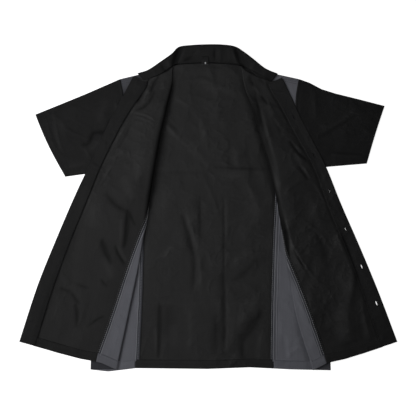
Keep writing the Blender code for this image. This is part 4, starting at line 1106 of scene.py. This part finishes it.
# %% The collar as a formula
Collar = namedtuple("Collar", "place seam_x seam_y roll_x roll_y seam_z fall_z under roll")
ON_FLAP = PLY_2 + PLY + 0.9
ON_BACK = PLY_1 + 0.95
COLLAR = rows_of(Collar, (
    ("right end",      -160.5, 318.0, -176.0, 336.0, ON_FLAP, PLY_2,  14, 1.4),
    ("right point",    -140.0, 324.8, -149.0, 345.0, ON_FLAP, PLY_2,  12, 1.5),
    ("right neck",     -113.0, 336.8, -116.0, 367.0, ON_FLAP, PLY_2,   2, 1.6),
    ("right shoulder",  -93.0, 351.0,  -90.0, 385.5, ON_FLAP, PLY_2,  -7, 1.7),
    ("right turn",      -76.0, 357.4,  -73.0, 402.0, ON_BACK, PLY_0,  -4, 1.9),
    ("right back",      -45.0, 359.6,  -44.0, 406.5, ON_BACK, PLY_0,   5, 2.1),
    ("centre back",      -5.0, 361.4,   -4.0, 408.5, ON_BACK, PLY_0,   8, 2.2),
    ("left back",        40.0, 359.4,   36.0, 408.0, ON_BACK, PLY_0,   5, 2.1),
    ("left turn",        73.0, 356.4,   68.0, 403.0, ON_BACK, PLY_0,  -4, 1.9),
    ("left shoulder",    90.0, 351.0,   92.0, 388.0, ON_FLAP, PLY_2,  -7, 1.7),
    ("left neck",       112.0, 341.3,  113.0, 372.0, ON_FLAP, PLY_2,   2, 1.6),
    ("left point",      138.0, 328.4,  143.0, 348.5, ON_FLAP, PLY_2,  12, 1.5),
    ("left end",        160.5, 316.8,  174.0, 335.0, ON_FLAP, PLY_2,  14, 1.4),
))


def collar(t, u):
    """u counts the rows of the table.  t: 0..1 out over the standing part, 1..2 a half circle
    of radius roll, 2..3 back along the fall.  Heights are straight-line between rows."""
    t, u = np.broadcast_arrays(t, u)
    knots = np.arange(len(COLLAR))
    read = {name: curve(knots, [getattr(row, name) for row in COLLAR], u)
            for name in ("seam_x", "seam_y", "roll_x", "roll_y", "under")}
    level = {name: np.interp(u, knots, [getattr(row, name) for row in COLLAR])
             for name in ("seam_z", "fall_z", "roll")}
    seam, outer = read["seam_x"] + 1j * read["seam_y"], read["roll_x"] + 1j * read["roll_y"]
    way, width = (outer - seam) / abs(outer - seam), abs(outer - seam) - level["roll"]
    top = level["fall_z"] + 2 * level["roll"]
    turn = np.clip(t - 1, 0, 1) * math.pi
    reach = np.select([t <= 1, t <= 2], [width * t, width + level["roll"] * np.sin(turn)],
                      (width + read["under"]) * (3 - t) - read["under"])
    place = seam + way * reach
    stand = level["seam_z"] + np.maximum(top - level["seam_z"], 0.0) * ramp(0, 1, t)
    rolled = level["fall_z"] + level["roll"] * (1 + np.cos(turn))
    high = np.select([t <= 1, t <= 2], [stand, rolled], level["fall_z"])
    soft = ramp(0.0, 0.2, t) * ramp(1.5, 1.0, t)
    rough = (creases(COLLAR_CREASES, place.real, place.imag)
             + unevenness(place.real, place.imag, 61, 0.4, 0.12))
    rough = np.where(t <= 1, np.maximum(rough, level["fall_z"] + 1.1 - high), rough)
    return xyz(place, high + soft * rough)


# %% The collar's cloth
STAND_WIDTH, ROW_LENGTH = 45.0, 34.0     # cloth from t = 0 to 1, and from one row to the next
COLLAR_WALL = 1.0                        # two plies and an interlining


def make_collar():
    """The grid of collar(t, u), with painted shade in the hollow by the neck seam."""
    t, u = np.meshgrid(np.append(stages(19, 8, 13), 3.0), np.linspace(0, len(COLLAR) - 1, 190))
    points = collar(t, u)
    uv = np.stack((t * STAND_WIDTH, u * ROW_LENGTH), -1)
    worn = crease_wear_and_shade(COLLAR_CREASES, points) - 0.7 * ramp(0.12, 0.02, t)
    return cloth("collar_cloth", points, uv, both_faces("black_outer"), wall=COLLAR_WALL, flip=True,
                 worn=worn)


COLLAR_CLOTH = make_collar()
print("collar:", len(COLLAR_CLOTH.data.polygons), "quads")

# %% [markdown]
# ## Facings and hems
#
# An edge is finished by turning it over.  The facing is the turned-over part of the front
# edge, so it shows the blacker outer face, and so do the hems.  Each is a band laid just above
# its panel and led round the edge in a half circle, which gives the edge its real thickness.

# %% A band folded round an edge
EDGE_TURN = np.linspace(0, math.pi, 7)[1:]


def folded_band(surface, spot, along, width, high, side=1, columns=14, lip=0.0):
    """Grid of the band.  spot(across, along) gives the surface's two numbers, across counts in
    from the edge.  Flat part: surface + n high.  Turn: edge + n high/2 (1 + cos t) + o high/2
    sin t, where n is the normal and o points out over the edge.  The inner rim lifts by lip."""
    across = np.linspace(1, 0, columns) * np.broadcast_to(width, along.shape)[:, None]
    a, b = spot(across, along[:, None])
    rise = high + lip * ramp(5.0, 0.0, across[:, :1] - across)
    flat, normal = lifted(surface, a, b, rise, side=side)
    edge, up = flat[:, -1:] - normal[:, -1:] * high, normal[:, -1:]
    out = unit(flat[:, -1:] - flat[:, -2:-1])
    t = EDGE_TURN[None, :, None]
    turned = edge + up * high / 2 * (1 + np.cos(t)) + out * high / 2 * np.sin(t)
    points = np.concatenate((flat, turned), axis=1)
    spread = np.concatenate((across, np.repeat(-EDGE_TURN[None, :] * high / 2, len(along), 0)), axis=1)
    distance = np.concatenate(([0.0], np.cumsum(np.linalg.norm(np.diff(flat[:, 0], axis=0), axis=1))))
    uv = np.stack((np.broadcast_to(distance[:, None], spread.shape), spread), -1)
    return points, uv


# %% The two facings
FACING_HIGH = 0.95               # above the front's cloth, middle to middle
FACING_TOP = 0.985               # v where it goes under the collar


def make_facing(half):
    """A folded band as wide as the cut says; the left one has a paler finish as painted light, where the
    lamp's light falls off, and both have painted shade at the rim.
    """
    v = np.linspace(0.0, FACING_TOP, 310)
    width = half.cut(v).facing
    points, uv = folded_band(
        half.front, lambda across, row: (half.across("facing", 1.0, row) - across, row),
        v, width, FACING_HIGH, side=half.side, columns=18, lip=0.15)
    finishes = TURNED_BLACK if half.word == ON_BUTTONS else (LOOK["black_rubbed"], LOOK["black_inner"])
    return cloth(f"facing_{half.word}_cloth", points, uv[..., ::-1], finishes, flip=half.side < 0,
                 worn=-0.4 * ramp(2.2, 0.4, width[:, None] - uv[..., 1]))


FACINGS = {half.word: make_facing(half) for half in HALVES}

# %% The hems, panel by panel
HEM_WIDTH, HEM_HIGH, HEM_WALL = 21.0, 0.85, 0.55
HEM_STEP = 2.5
# each hem's painted tone: below 0 darker, above 0 paler
HEM_TONE_SHIFT = {"back_centre": -0.15, "front_right": -0.35, "front_side_right": -0.2,
            "back_side_right": 0.3, "front_left": -0.1}


def make_hem(name, surface, ends, finishes, side, flip):
    """A folded band along v = 0 of the panel's surface, from one end to the other."""
    start, stop = (float(end) for end in ends)
    a = np.linspace(start, stop, int(abs(stop - start) / HEM_STEP) + 2)
    points, uv = folded_band(surface, lambda across, at: (at + 0 * across, across / HEM_TO_NECK + 0 * at),
                             a, HEM_WIDTH, HEM_HIGH, side=side, columns=9)
    worn = np.full(points.shape[:2], HEM_TONE_SHIFT.get(name, 0.0))
    return cloth(name + "_hem", points, uv, finishes, wall=HEM_WALL, flip=flip, worn=worn)


HEMS = {"back_centre": make_hem("back_centre", back, (back_seam(RIGHT, 0.0) - 8, back_seam(LEFT, 0.0) + 8),
                                TURNED_BLACK, 1, True)}
for half in HALVES:
    ends = sorted((back_edge(half, 0.0), back_seam(half, 0.0) + half.side * 8.2))
    name = f"back_side_{half.word}"
    HEMS[name] = make_hem(name, back, ends, TURNED_GREY, 1, True)
    seam, edge, roll = half.seam(0.0), half.across("flap", 1.0, 0.0), half.cut(0.0).roll
    for name, ends, finishes in ((f"front_side_{half.word}", (-2.5 * roll, seam), TURNED_GREY),
                                 (f"front_{half.word}", (seam + 0.3, edge + 4), TURNED_BLACK)):
        HEMS[name] = make_hem(name, half.front, ends, finishes, half.side, half.side > 0)
print(f"{len(FACINGS)} facings and {len(HEMS)} hems")

# %% [markdown]
# ## Seam allowances
#
# Inside the shirt every seam shows its allowance: two cut edges, oversewn together and pressed
# to the grey side.  Each is a narrow strip laid on the panel it is pressed to, and it also
# bridges the seam.  Its outer edge curls up a little and catches the light, and is given a
# paler finish as painted highlight; the dark strips beside it are painted shadow.

# %% Ribbons along the seams
SEAM_WALL = 0.4
SEAM_LOW = 0.022                 # v of the ribbons' lower ends, just inside the hem's band
Ribbon = namedtuple("Ribbon", "start stop high finish")  # from the seam, + to the grey side
Seam = namedtuple("Seam", "name half surface top ribbons")
# The pale turned-edge strips are painted highlight, the dark seam strips painted shadow, and the grey_outer
# strip of the left back seam is painted shade between two highlighted ridges.
FRONT_RIBBONS = ((-5.6, -1.3, 0.50, "black_outer"), (-1.2, 1.2, 0.60, "allowance"),
                 (1.3, 3.6, 0.45, "seam_hollow"))
SEAMS = rows_of(Seam, (
    ("back_right", RIGHT, "back", 0.56, (
        (-3.6, -1.3, 0.50, "black_outer"), (-1.1, 5.4, 0.60, "allowance"), (5.5, 6.5, 0.45, "seam_hollow"),
        (6.6, 9.2, 1.05, "turned_edge"))),
    ("back_left", LEFT, "back", 0.61, (
        (-1.4, 0.6, 0.45, "black_outer"), (0.5, 2.6, 0.60, "allowance"), (2.7, 5.0, 0.50, "seam_hollow"),
        (5.2, 8.6, 0.95, "turned_edge"), (8.8, 11.8, 0.50, "grey_outer"), (12.6, 16.2, 0.75, "turned_edge"))),
    ("front_right", RIGHT, "front", 0.56, (*FRONT_RIBBONS, (3.8, 6.6, 0.95, "turned_edge"))),
    ("front_left", LEFT, "front", 0.46, (
        *FRONT_RIBBONS, (3.8, 6.6, 0.80, "turned_edge"), (6.8, 8.4, 0.45, "allowance"))),
))


def on_seam(seam):
    """Surface, spot(off, v) and side: where a point off from the seam lies in that surface."""
    half = seam.half
    if seam.surface == "back":
        return back, (lambda off, v: (back_seam(half, v) + half.side * off, v)), 1
    return half.front, (lambda off, v: (half.seam(v) - off, v)), half.side


def make_ribbon(seam, number, row):
    """Height above the cloth: high, waved by a slow noise along the seam."""
    surface, spot, side = on_seam(seam)
    off, v = np.meshgrid(np.linspace(row.start, row.stop, 5), np.linspace(SEAM_LOW, seam.top, 170))
    off = off + 0.35 * noise(v * HEM_TO_NECK, 0 * v, 23, 70 + number)
    high = row.high + 0.15 * noise(v * HEM_TO_NECK, 0 * v, 14, 80 + number)
    points, _ = lifted(surface, *spot(off, v), high, side=side)
    flip = (seam.half.side < 0) == (seam.surface == "back")
    return cloth(f"seam_{seam.name}_{number}", points, pattern_uv(off, v), both_faces(row.finish),
                 wall=SEAM_WALL, flip=flip)


RIBBONS = {seam.name: [make_ribbon(seam, number, row)
                       for number, row in enumerate(rows_of(Ribbon, seam.ribbons), 1)] for seam in SEAMS}
print(f"{sum(len(made) for made in RIBBONS.values())} ribbons along {len(SEAMS)} seams")

# %% [markdown]
# ## Buttonholes
#
# The left front edge carries the buttonholes.  They lie along the edge and gape a little, so
# we look through them.  Each is a lens-shaped slot taken out of the panel and its facing, bound
# with close satin stitches further on.

# %% Slots through the left edge
BUTTONHOLE_INSET = 14.5          # from the front edge
CUTTER_ENDS = (-20.0, 40.0)      # below the table and above the shirt
Slot = namedtuple("Slot", "y length gape")
SLOTS = rows_of(Slot, ((227.0, 12, 0.7), (131.0, 12, 0.8), (42.0, 11, 0.4), (-52.0, 10, 0.8),
                       (-146.0, 11, 2.0), (-238.0, 12, 2.6)))
ROW_V = np.linspace(0.0, 1.0, 801)
BUTTONHOLE_ROW = LEFT.front(LEFT.across("facing", 1.0, ROW_V) - BUTTONHOLE_INSET, ROW_V)


def slot_rim(row, grow, count):
    """Lens: length / 2 * cos t along the edge, gape / 2 * sin t |sin t|^0.4 across it."""
    k = int(np.argmin(abs(BUTTONHOLE_ROW[:, 1] - row.y)))
    before, middle, after = (complex(*BUTTONHOLE_ROW[i, :2]) for i in (k - 1, k, k + 1))
    along = (after - before) / abs(after - before)
    t = np.linspace(0, 2 * math.pi, count, endpoint=False)
    across = (row.gape / 2 + grow) * np.sin(t) * abs(np.sin(t)) ** 0.4
    return middle + along * ((row.length / 2 + grow) * np.cos(t) + 1j * across)


def make_cutter():
    """One closed prism per slot, standing right through the cloth."""
    rims = np.array([slot_rim(row, grow=0.0, count=28) for row in SLOTS])[:, None]
    corners = xyz(*np.broadcast_arrays(rims, np.array(CUTTER_ENDS)[:, None]))
    index = np.arange(corners.size // 3).reshape(corners.shape[:3])      # slot, end, corner
    ahead = np.roll(index, -1, axis=2)
    walls = np.stack((index[:, 0], ahead[:, 0], ahead[:, 1], index[:, 1]), -1).reshape(-1, 4)
    ends = np.concatenate((index[:, 0, ::-1], index[:, 1]))
    mesh = bpy.data.meshes.new("slots")
    mesh.from_pydata((corners.reshape(-1, 3) * MM).tolist(), [], walls.tolist() + ends.tolist())
    return put_in_scene("slots", mesh)


def take_out(piece, cutter):
    """Subtract the cutter from the piece's walls, and keep the result as its mesh."""
    hole = piece.modifiers.new("slots", "BOOLEAN")
    hole.operation, hole.solver, hole.object = "DIFFERENCE", "MANIFOLD", cutter
    seen = piece.evaluated_get(bpy.context.evaluated_depsgraph_get())
    cut = bpy.data.meshes.new_from_object(seen)
    piece.modifiers.clear()
    piece.data = cut


cutter = make_cutter()
for piece in (FRONTS["left"][0], FACINGS["left"]):
    before = len(piece.data.polygons)
    take_out(piece, cutter)
    print(f"{piece.name}: {before} faces on one side before, {len(piece.data.polygons)} in all after")
bpy.data.objects.remove(cutter)

# %% [markdown]
# ## Size label
#
# A short loop of woven tape, folded over and caught in the neck seam at the centre back, with
# a small pale block woven into its lower end.

# %% Label
LABEL_X, LABEL_WIDTH, LABEL_LOW, LABEL_LENGTH = -7.0, 17.0, 357.0, 21.0
LABEL_CLEAR, LABEL_BOW = 1.3, 1.2        # above the collar all over, and more in the middle
NECK_SEAM_Y = 360.6                      # where the collar's standing part starts
BACK_ROW, BACK_X = 6.0, -5.0             # the collar's row at the centre back, and its x
ROW_APART = 45.0                         # from that row to the next, across the neck


def label(a, b):
    """Over the collar from its seam (b = 0, a lower front fold) up to b = 1; a runs across.

    z follows the collar below, LABEL_CLEAR up, and bows up by LABEL_BOW sin(pi b)."""
    x = LABEL_X + LABEL_WIDTH * (a - 0.5)
    y = LABEL_LOW + LABEL_LENGTH * b
    share = np.clip((y - NECK_SEAM_Y) / STAND_WIDTH, 0.0, 1.0)
    under = collar(share, BACK_ROW + (x - BACK_X) / ROW_APART)[..., 2]
    return np.stack((x + 0 * y, y + 0 * x, under + LABEL_CLEAR + LABEL_BOW * np.sin(math.pi * b)), -1)


def make_label_part(name, across, up, high, finish, wall):
    """across and up are (start, stop, count) of the grid's a and b; high is above the tape."""
    a, b = np.meshgrid(np.linspace(*across), np.linspace(*up))
    points, _ = lifted(label, a, b, high + 0 * a, steps=(0.02, 0.02))
    uv = np.stack((a * LABEL_WIDTH, b * LABEL_LENGTH), -1)
    return cloth(f"size_label_{name}", points, uv, both_faces(finish), wall=wall)


LABEL = make_label_part("tape", (0.0, 1.0, 19), (0.0, 1.0, 24), 0.0, "tape", 0.35)
MARK = make_label_part("block", (0.44, 0.62, 7), (0.12, 0.34, 9), 0.22, "thread_white", 0.2)
LABEL_END = make_label_part("end", (0.0, 1.0, 25), (0.0, 0.10, 5), 0.26, "tape_rim", 0.25)
print(f"label: {LABEL_WIDTH:.0f} by {LABEL_LENGTH:.0f} mm")

# %% [markdown]
# ## Stitches
#
# Every stitch is the same small capsule of thread with both ends sunk in the cloth, so it has
# only 17 faces.  A row is one mesh: the capsules are set at even steps along a line on a
# surface, turned to the line, and slanted where the edge is oversewn.

# %% A row of stitches
CAPSULE = np.array(((-1.0, 0.35, -0.5), (-0.55, 1.0, 0.0), (0.55, 1.0, 0.0), (1.0, 0.35, -0.5)))
AHEAD, RADIUS, RISE = CAPSULE.T  # of each ring, over half the length, half the thread and the thread
SIDES = 5
LOOK_AHEAD = 0.6                 # the line's direction is taken over this much each way


def stitches(name, points, normals, finish, pitch=3.0, length=2.3, thick=0.5, slant=0.0):
    """Ring i of a stitch: centre + d AHEAD_i length/2 + n RISE_i thick + RADIUS_i thick/2 (cos, sin).

    n is the normal, and d the line's direction turned by slant towards the side vector n x d."""
    steps = np.linalg.norm(np.diff(points, axis=0), axis=1)
    reach = np.concatenate(([0.0], np.cumsum(steps)))
    count = max(int(reach[-1] / pitch), 1)
    at = (np.arange(count) + 0.5) * reach[-1] / count
    centre, up, ahead, behind = (
        np.stack([np.interp(where, reach, values[:, axis]) for axis in range(3)], -1)
        for where, values in ((at, points), (at, normals), (at + LOOK_AHEAD, points),
                              (at - LOOK_AHEAD, points)))
    way = unit(ahead - behind)
    along = way * math.cos(slant) + unit(np.cross(up, way)) * math.sin(slant)
    core = (centre[:, None] + along[:, None] * (AHEAD * length / 2)[:, None]
            + up[:, None] * (RISE * thick)[:, None])
    t = np.linspace(0, 2 * math.pi, SIDES, endpoint=False)[:, None]
    around = np.cross(up, along)[:, None, None] * np.cos(t) + up[:, None, None] * np.sin(t)
    corners = (core[:, :, None] + around * (RADIUS * thick / 2)[:, None, None]).reshape(-1, 3)
    per = len(CAPSULE) * SIDES
    i, k = np.meshgrid(np.arange(len(CAPSULE) - 1), np.arange(SIDES), indexing="ij")
    n = (k + 1) % SIDES
    quads = np.stack((i * SIDES + k, i * SIDES + n, (i + 1) * SIDES + n, (i + 1) * SIDES + k), -1)
    caps = np.array((np.arange(SIDES)[::-1], per - SIDES + np.arange(SIDES)))
    shift = (np.arange(count) * per)[:, None]
    loops = np.concatenate([(faces.reshape(-1) + shift).reshape(-1) for faces in (quads, caps)])
    sizes = np.repeat((4, SIDES), (count * quads.size // 4, count * len(caps)))
    return add_piece(name, new_mesh(name, corners, loops, sizes), finish)


def sew(name, surface, a, b, high, side, finish, **how):
    """A row along the line (a, b) of a surface, on top of whatever lies high above it."""
    a, b = np.broadcast_arrays(np.asarray(a, float), np.asarray(b, float))
    points, normals = lifted(surface, a, b, high + 0 * a, side=side)
    stitches(name, points, normals, LOOK[finish], **how)


# %% Hems, cuffs and neck
HEM_ROW = (HEM_WIDTH - 1.8) / HEM_TO_NECK
CUFF_ROW = 1.0 - 20.5 / SLEEVE_LENGTH
ON_HEM = HEM_HIGH + HEM_WALL / 2 + 0.1
ON_CLOTH = WALL / 2 + 0.1
along = np.linspace(0, 1, 240)
sew("stitches_hem_back", back, -228 + 490 * along, HEM_ROW, ON_HEM, 1, "thread_black")
for half in HALVES:
    reach = half.across("flap", along, HEM_ROW)
    sew(f"stitches_hem_{half.word}", half.front, reach, HEM_ROW, ON_HEM, half.side, "thread_black")
    sew(f"stitches_cuff_{half.word}", SLEEVE[half.word], 0.02 + 0.96 * along, CUFF_ROW, ON_CLOTH,
        -half.side, "thread_black", thick=0.45)
    v = FACING_TOP * along
    sew(f"stitches_facing_{half.word}", half.front, half.across("facing", 0.0, v) + 1.2, v,
        FACING_HIGH + 0.5 + ON_CLOTH, half.side, "thread_black", pitch=2.3, length=3.6, slant=1.0)
    armhole = half.across("side", 0.0, 1.0)
    # The shoulder rows are drawn in the dark finish of the seams' painted shadow.
    for number, level in enumerate((0.995, 0.990, 0.983), 1):
        sew(f"stitches_shoulder_{half.word}_{number}", half.front, armhole + 3 + 44 * along, level,
            ON_CLOTH, -half.side, "seam_hollow", pitch=2.6, length=2.4, thick=0.7)
sew("stitches_neck", collar, 0.07, 3.4 + 5.2 * along, 0.62, -1, "thread_black")

# %% Oversewn seams
Row = namedtuple("Row", "off high finish pitch length thick slant")
SEWN_FROM, SEWN_TO = 0.03, 0.55  # v, from the hem to where the fronts cover the seams
EDGE_STITCH = ("thread_grey", 3.0, 2.4, 0.6, 0.0)        # from finish to slant
FRONT_ROWS = ((0.0, 1.10, "thread_grey", 5.0, 3.4, 1.5, 0.0), (-4.2, 0.95, "thread_dim", 5.0, 3.0, 1.0, 0.0))
SEAM_ROWS = {
    "back_right": ((3.0, 1.00, "thread_grey", 4.0, 2.6, 0.7, 0.9), (8.0, 1.40, *EDGE_STITCH)),
    "back_left": ((1.6, 1.10, "thread_grey", 5.0, 3.0, 1.3, 0.0), (7.2, 1.35, *EDGE_STITCH),
                  (-6.0, 0.45, "thread_black", 5.0, 3.0, 1.0, 0.0)),
    "front_right": (*FRONT_ROWS, (5.6, 1.35, *EDGE_STITCH)),
    "front_left": (*FRONT_ROWS, (5.6, 1.25, *EDGE_STITCH)),
}
for seam in SEAMS:
    surface, spot, side = on_seam(seam)
    v = SEWN_FROM + (min(seam.top, SEWN_TO) - SEWN_FROM) * along
    for number, row in enumerate(rows_of(Row, SEAM_ROWS[seam.name]), 1):
        sew(f"sewn_{seam.name}_{number}", surface, *spot(row.off, v), row.high, side, row.finish,
            pitch=row.pitch, length=row.length, thick=row.thick, slant=row.slant)

# %% Bound buttonholes
BINDING = 1.1                    # from the slot's rim out to the middle of the satin stitches
for number, row in enumerate(SLOTS, 1):
    place = slot_rim(row, BINDING, count=64)
    place = np.append(place, place[:1])
    under = np.interp(place.imag, BUTTONHOLE_ROW[:, 1], BUTTONHOLE_ROW[:, 2])
    points = xyz(place, under + FACING_HIGH + WALL / 2 + 0.15)
    normals = np.broadcast_to((0.0, 0.0, 1.0), points.shape)
    stitches(f"buttonhole_{number}", points, normals, LOOK["thread_black"], pitch=0.75,
                         length=2.0, thick=0.55, slant=math.pi / 2)

# %% [markdown]
# ## Table, light and camera
#
# The table is a white light panel, so nothing throws a shadow on it.  A small lamp low on the
# left draws the creases, and a second one overhead keeps the black from closing up.

# %% Table
TABLE_REACH = 12.0               # metres each way, past what a low camera sees
TABLE_DROP = 0.0001              # the cloth's lowest faces lie just clear of it


def make_table():
    """A glowing square under the shirt, which neither lights the cloth nor shows in it."""
    mesh = bpy.data.meshes.new("table")
    corners = [(x * TABLE_REACH, y * TABLE_REACH, -TABLE_DROP)
               for x, y in ((-1, -1), (1, -1), (1, 1), (-1, 1))]
    mesh.from_pydata(corners, [], [(0, 1, 2, 3)])
    made, tree, shader = new_material("white light panel", Roughness=0.9, Emission_Strength=0.9,
                                      Emission_Color=(1.0, 1.0, 1.0, 1.0))
    cloud = clouds(tree, on_object(tree), 6.0, 2.0)["Fac"]
    clouded(tree, shader, cloud, (0.86, 0.86, 0.86), (0.90, 0.90, 0.90))
    mesh.materials.append(made)
    table = put_in_scene("table", mesh)
    table.visible_diffuse = table.visible_glossy = False


make_table()

# %% Lights
Lamp = namedtuple("Lamp", "name place wide long power")
LAMPS = rows_of(Lamp, (
    ("softbox at the left", (-1.3, 0.0, 1.0), 1.0, 1.4, 9.2),
    ("lamp overhead", (-0.12, 0.0, 0.65), 0.25, 1.3, 1.45),
))
for lamp in LAMPS:
    light = bpy.data.lights.new(lamp.name, "AREA")
    light.shape, light.size, light.size_y, light.energy = "RECTANGLE", lamp.long, lamp.wide, lamp.power
    holder = put_in_scene(lamp.name, light)
    holder.location = lamp.place
    holder.rotation_euler = (-Vector(lamp.place)).to_track_quat("-Z", "Y").to_euler()
    holder.visible_camera = False

world = bpy.data.worlds.new("pale room")
world.use_nodes = True
background = world.node_tree.nodes["Background"].inputs
background["Color"].default_value, background["Strength"].default_value = (1.0, 1.0, 1.0, 1.0), 0.05
bpy.context.scene.world = world
bpy.context.scene.view_settings.view_transform = "Standard"

# %% Camera, straight above
FRAME_WIDTH, CAMERA_HEIGHT, SENSOR = 1.040, 3.0, 36.0
lens = bpy.data.cameras.new("camera")
lens.sensor_width = SENSOR
lens.lens = SENSOR * CAMERA_HEIGHT / FRAME_WIDTH
lens.clip_end = 20.0
camera = put_in_scene("camera", lens)
camera.location = (0.0, 0.0, CAMERA_HEIGHT)
bpy.context.scene.camera = camera

# %% [markdown]
# ## What each piece is
#
# The sizes are of the part of the panel that is laid out here.

# %% Panels, their cut and what goes with them
Panel = namedtuple("Panel", "piece node slot width length area rests_on")
PANELS = rows_of(Panel, (
    (BACKS[0], "back_centre", "black_poplin", 0.34, 0.78, 0.2455, "collar"),
    (BACKS[1], "back_side_right", "grey_poplin", 0.13, 0.75, 0.0740, "table"),
    (BACKS[2], "back_side_left", "grey_poplin", 0.16, 0.75, 0.0844, "table"),
    (FRONTS["right"][0], "front_right", "black_poplin", 0.24, 0.78, 0.1327, "back_side_right"),
    (FRONTS["left"][0], "front_left", "black_poplin", 0.24, 0.78, 0.1189, "back_side_left"),
    (FRONTS["right"][1], "front_side_right", "grey_poplin", 0.18, 0.76, 0.0886, "back_side_right"),
    (FRONTS["left"][1], "front_side_left", "grey_poplin", 0.18, 0.76, 0.0764, "back_side_left"),
    (FACINGS["right"], "facing_right", "black_facing", 0.045, 0.80, 0.0256, "front_right"),
    (FACINGS["left"], "facing_left", "black_facing", 0.045, 0.80, 0.0251, "front_left"),
    (SLEEVES[0], "sleeve_right", "black_poplin", 0.46, 0.25, 0.0686, "table"),
    (SLEEVES[1], "sleeve_left", "black_poplin", 0.46, 0.25, 0.0661, "table"),
    (COLLAR_CLOTH, "collar", "black_facing", 0.44, 0.11, 0.0261, "table"),
    (LABEL, "size_label", "label_tape", 0.017, 0.021, 0.000357, "collar"),
))
SEWN_ON = {"size_label": [MARK, LABEL_END]}
for name, hem in HEMS.items():
    SEWN_ON.setdefault(name, []).append(hem)
for seam in SEAMS:
    SEWN_ON[f"{seam.surface}_side_{seam.half.word}"] += RIBBONS[seam.name]
for panel in PANELS:
    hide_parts(panel.node)
print(f"{len(PANELS)} sheets")

# %% Buttons: cast resin, faintly clouded, face down under the right flap
def make_resin():
    """Colour and roughness both follow one twisted noise of the place."""
    made, tree, shader = new_material("button_resin_look", Coat_Weight=0.2)
    cloud = clouds(tree, on_object(tree), 350.0, 3.0, Distortion=1.5)["Fac"]
    clouded(tree, shader, cloud, (0.006, 0.006, 0.007), (0.020, 0.020, 0.021))
    rough = node(tree, "MapRange", {"Value": cloud, "To Min": 0.26, "To Max": 0.40})
    feed(tree, shader.inputs["Roughness"], rough.outputs[0])
    return made


RESIN = make_resin()
for number in range(len(SLOTS)):         # one button for every buttonhole
    for place in bpy.data.objects[f"button_{number + 1}"].material_slots:
        place.material = RESIN
print(f"buttons: {len(SLOTS)} in", RESIN.name)
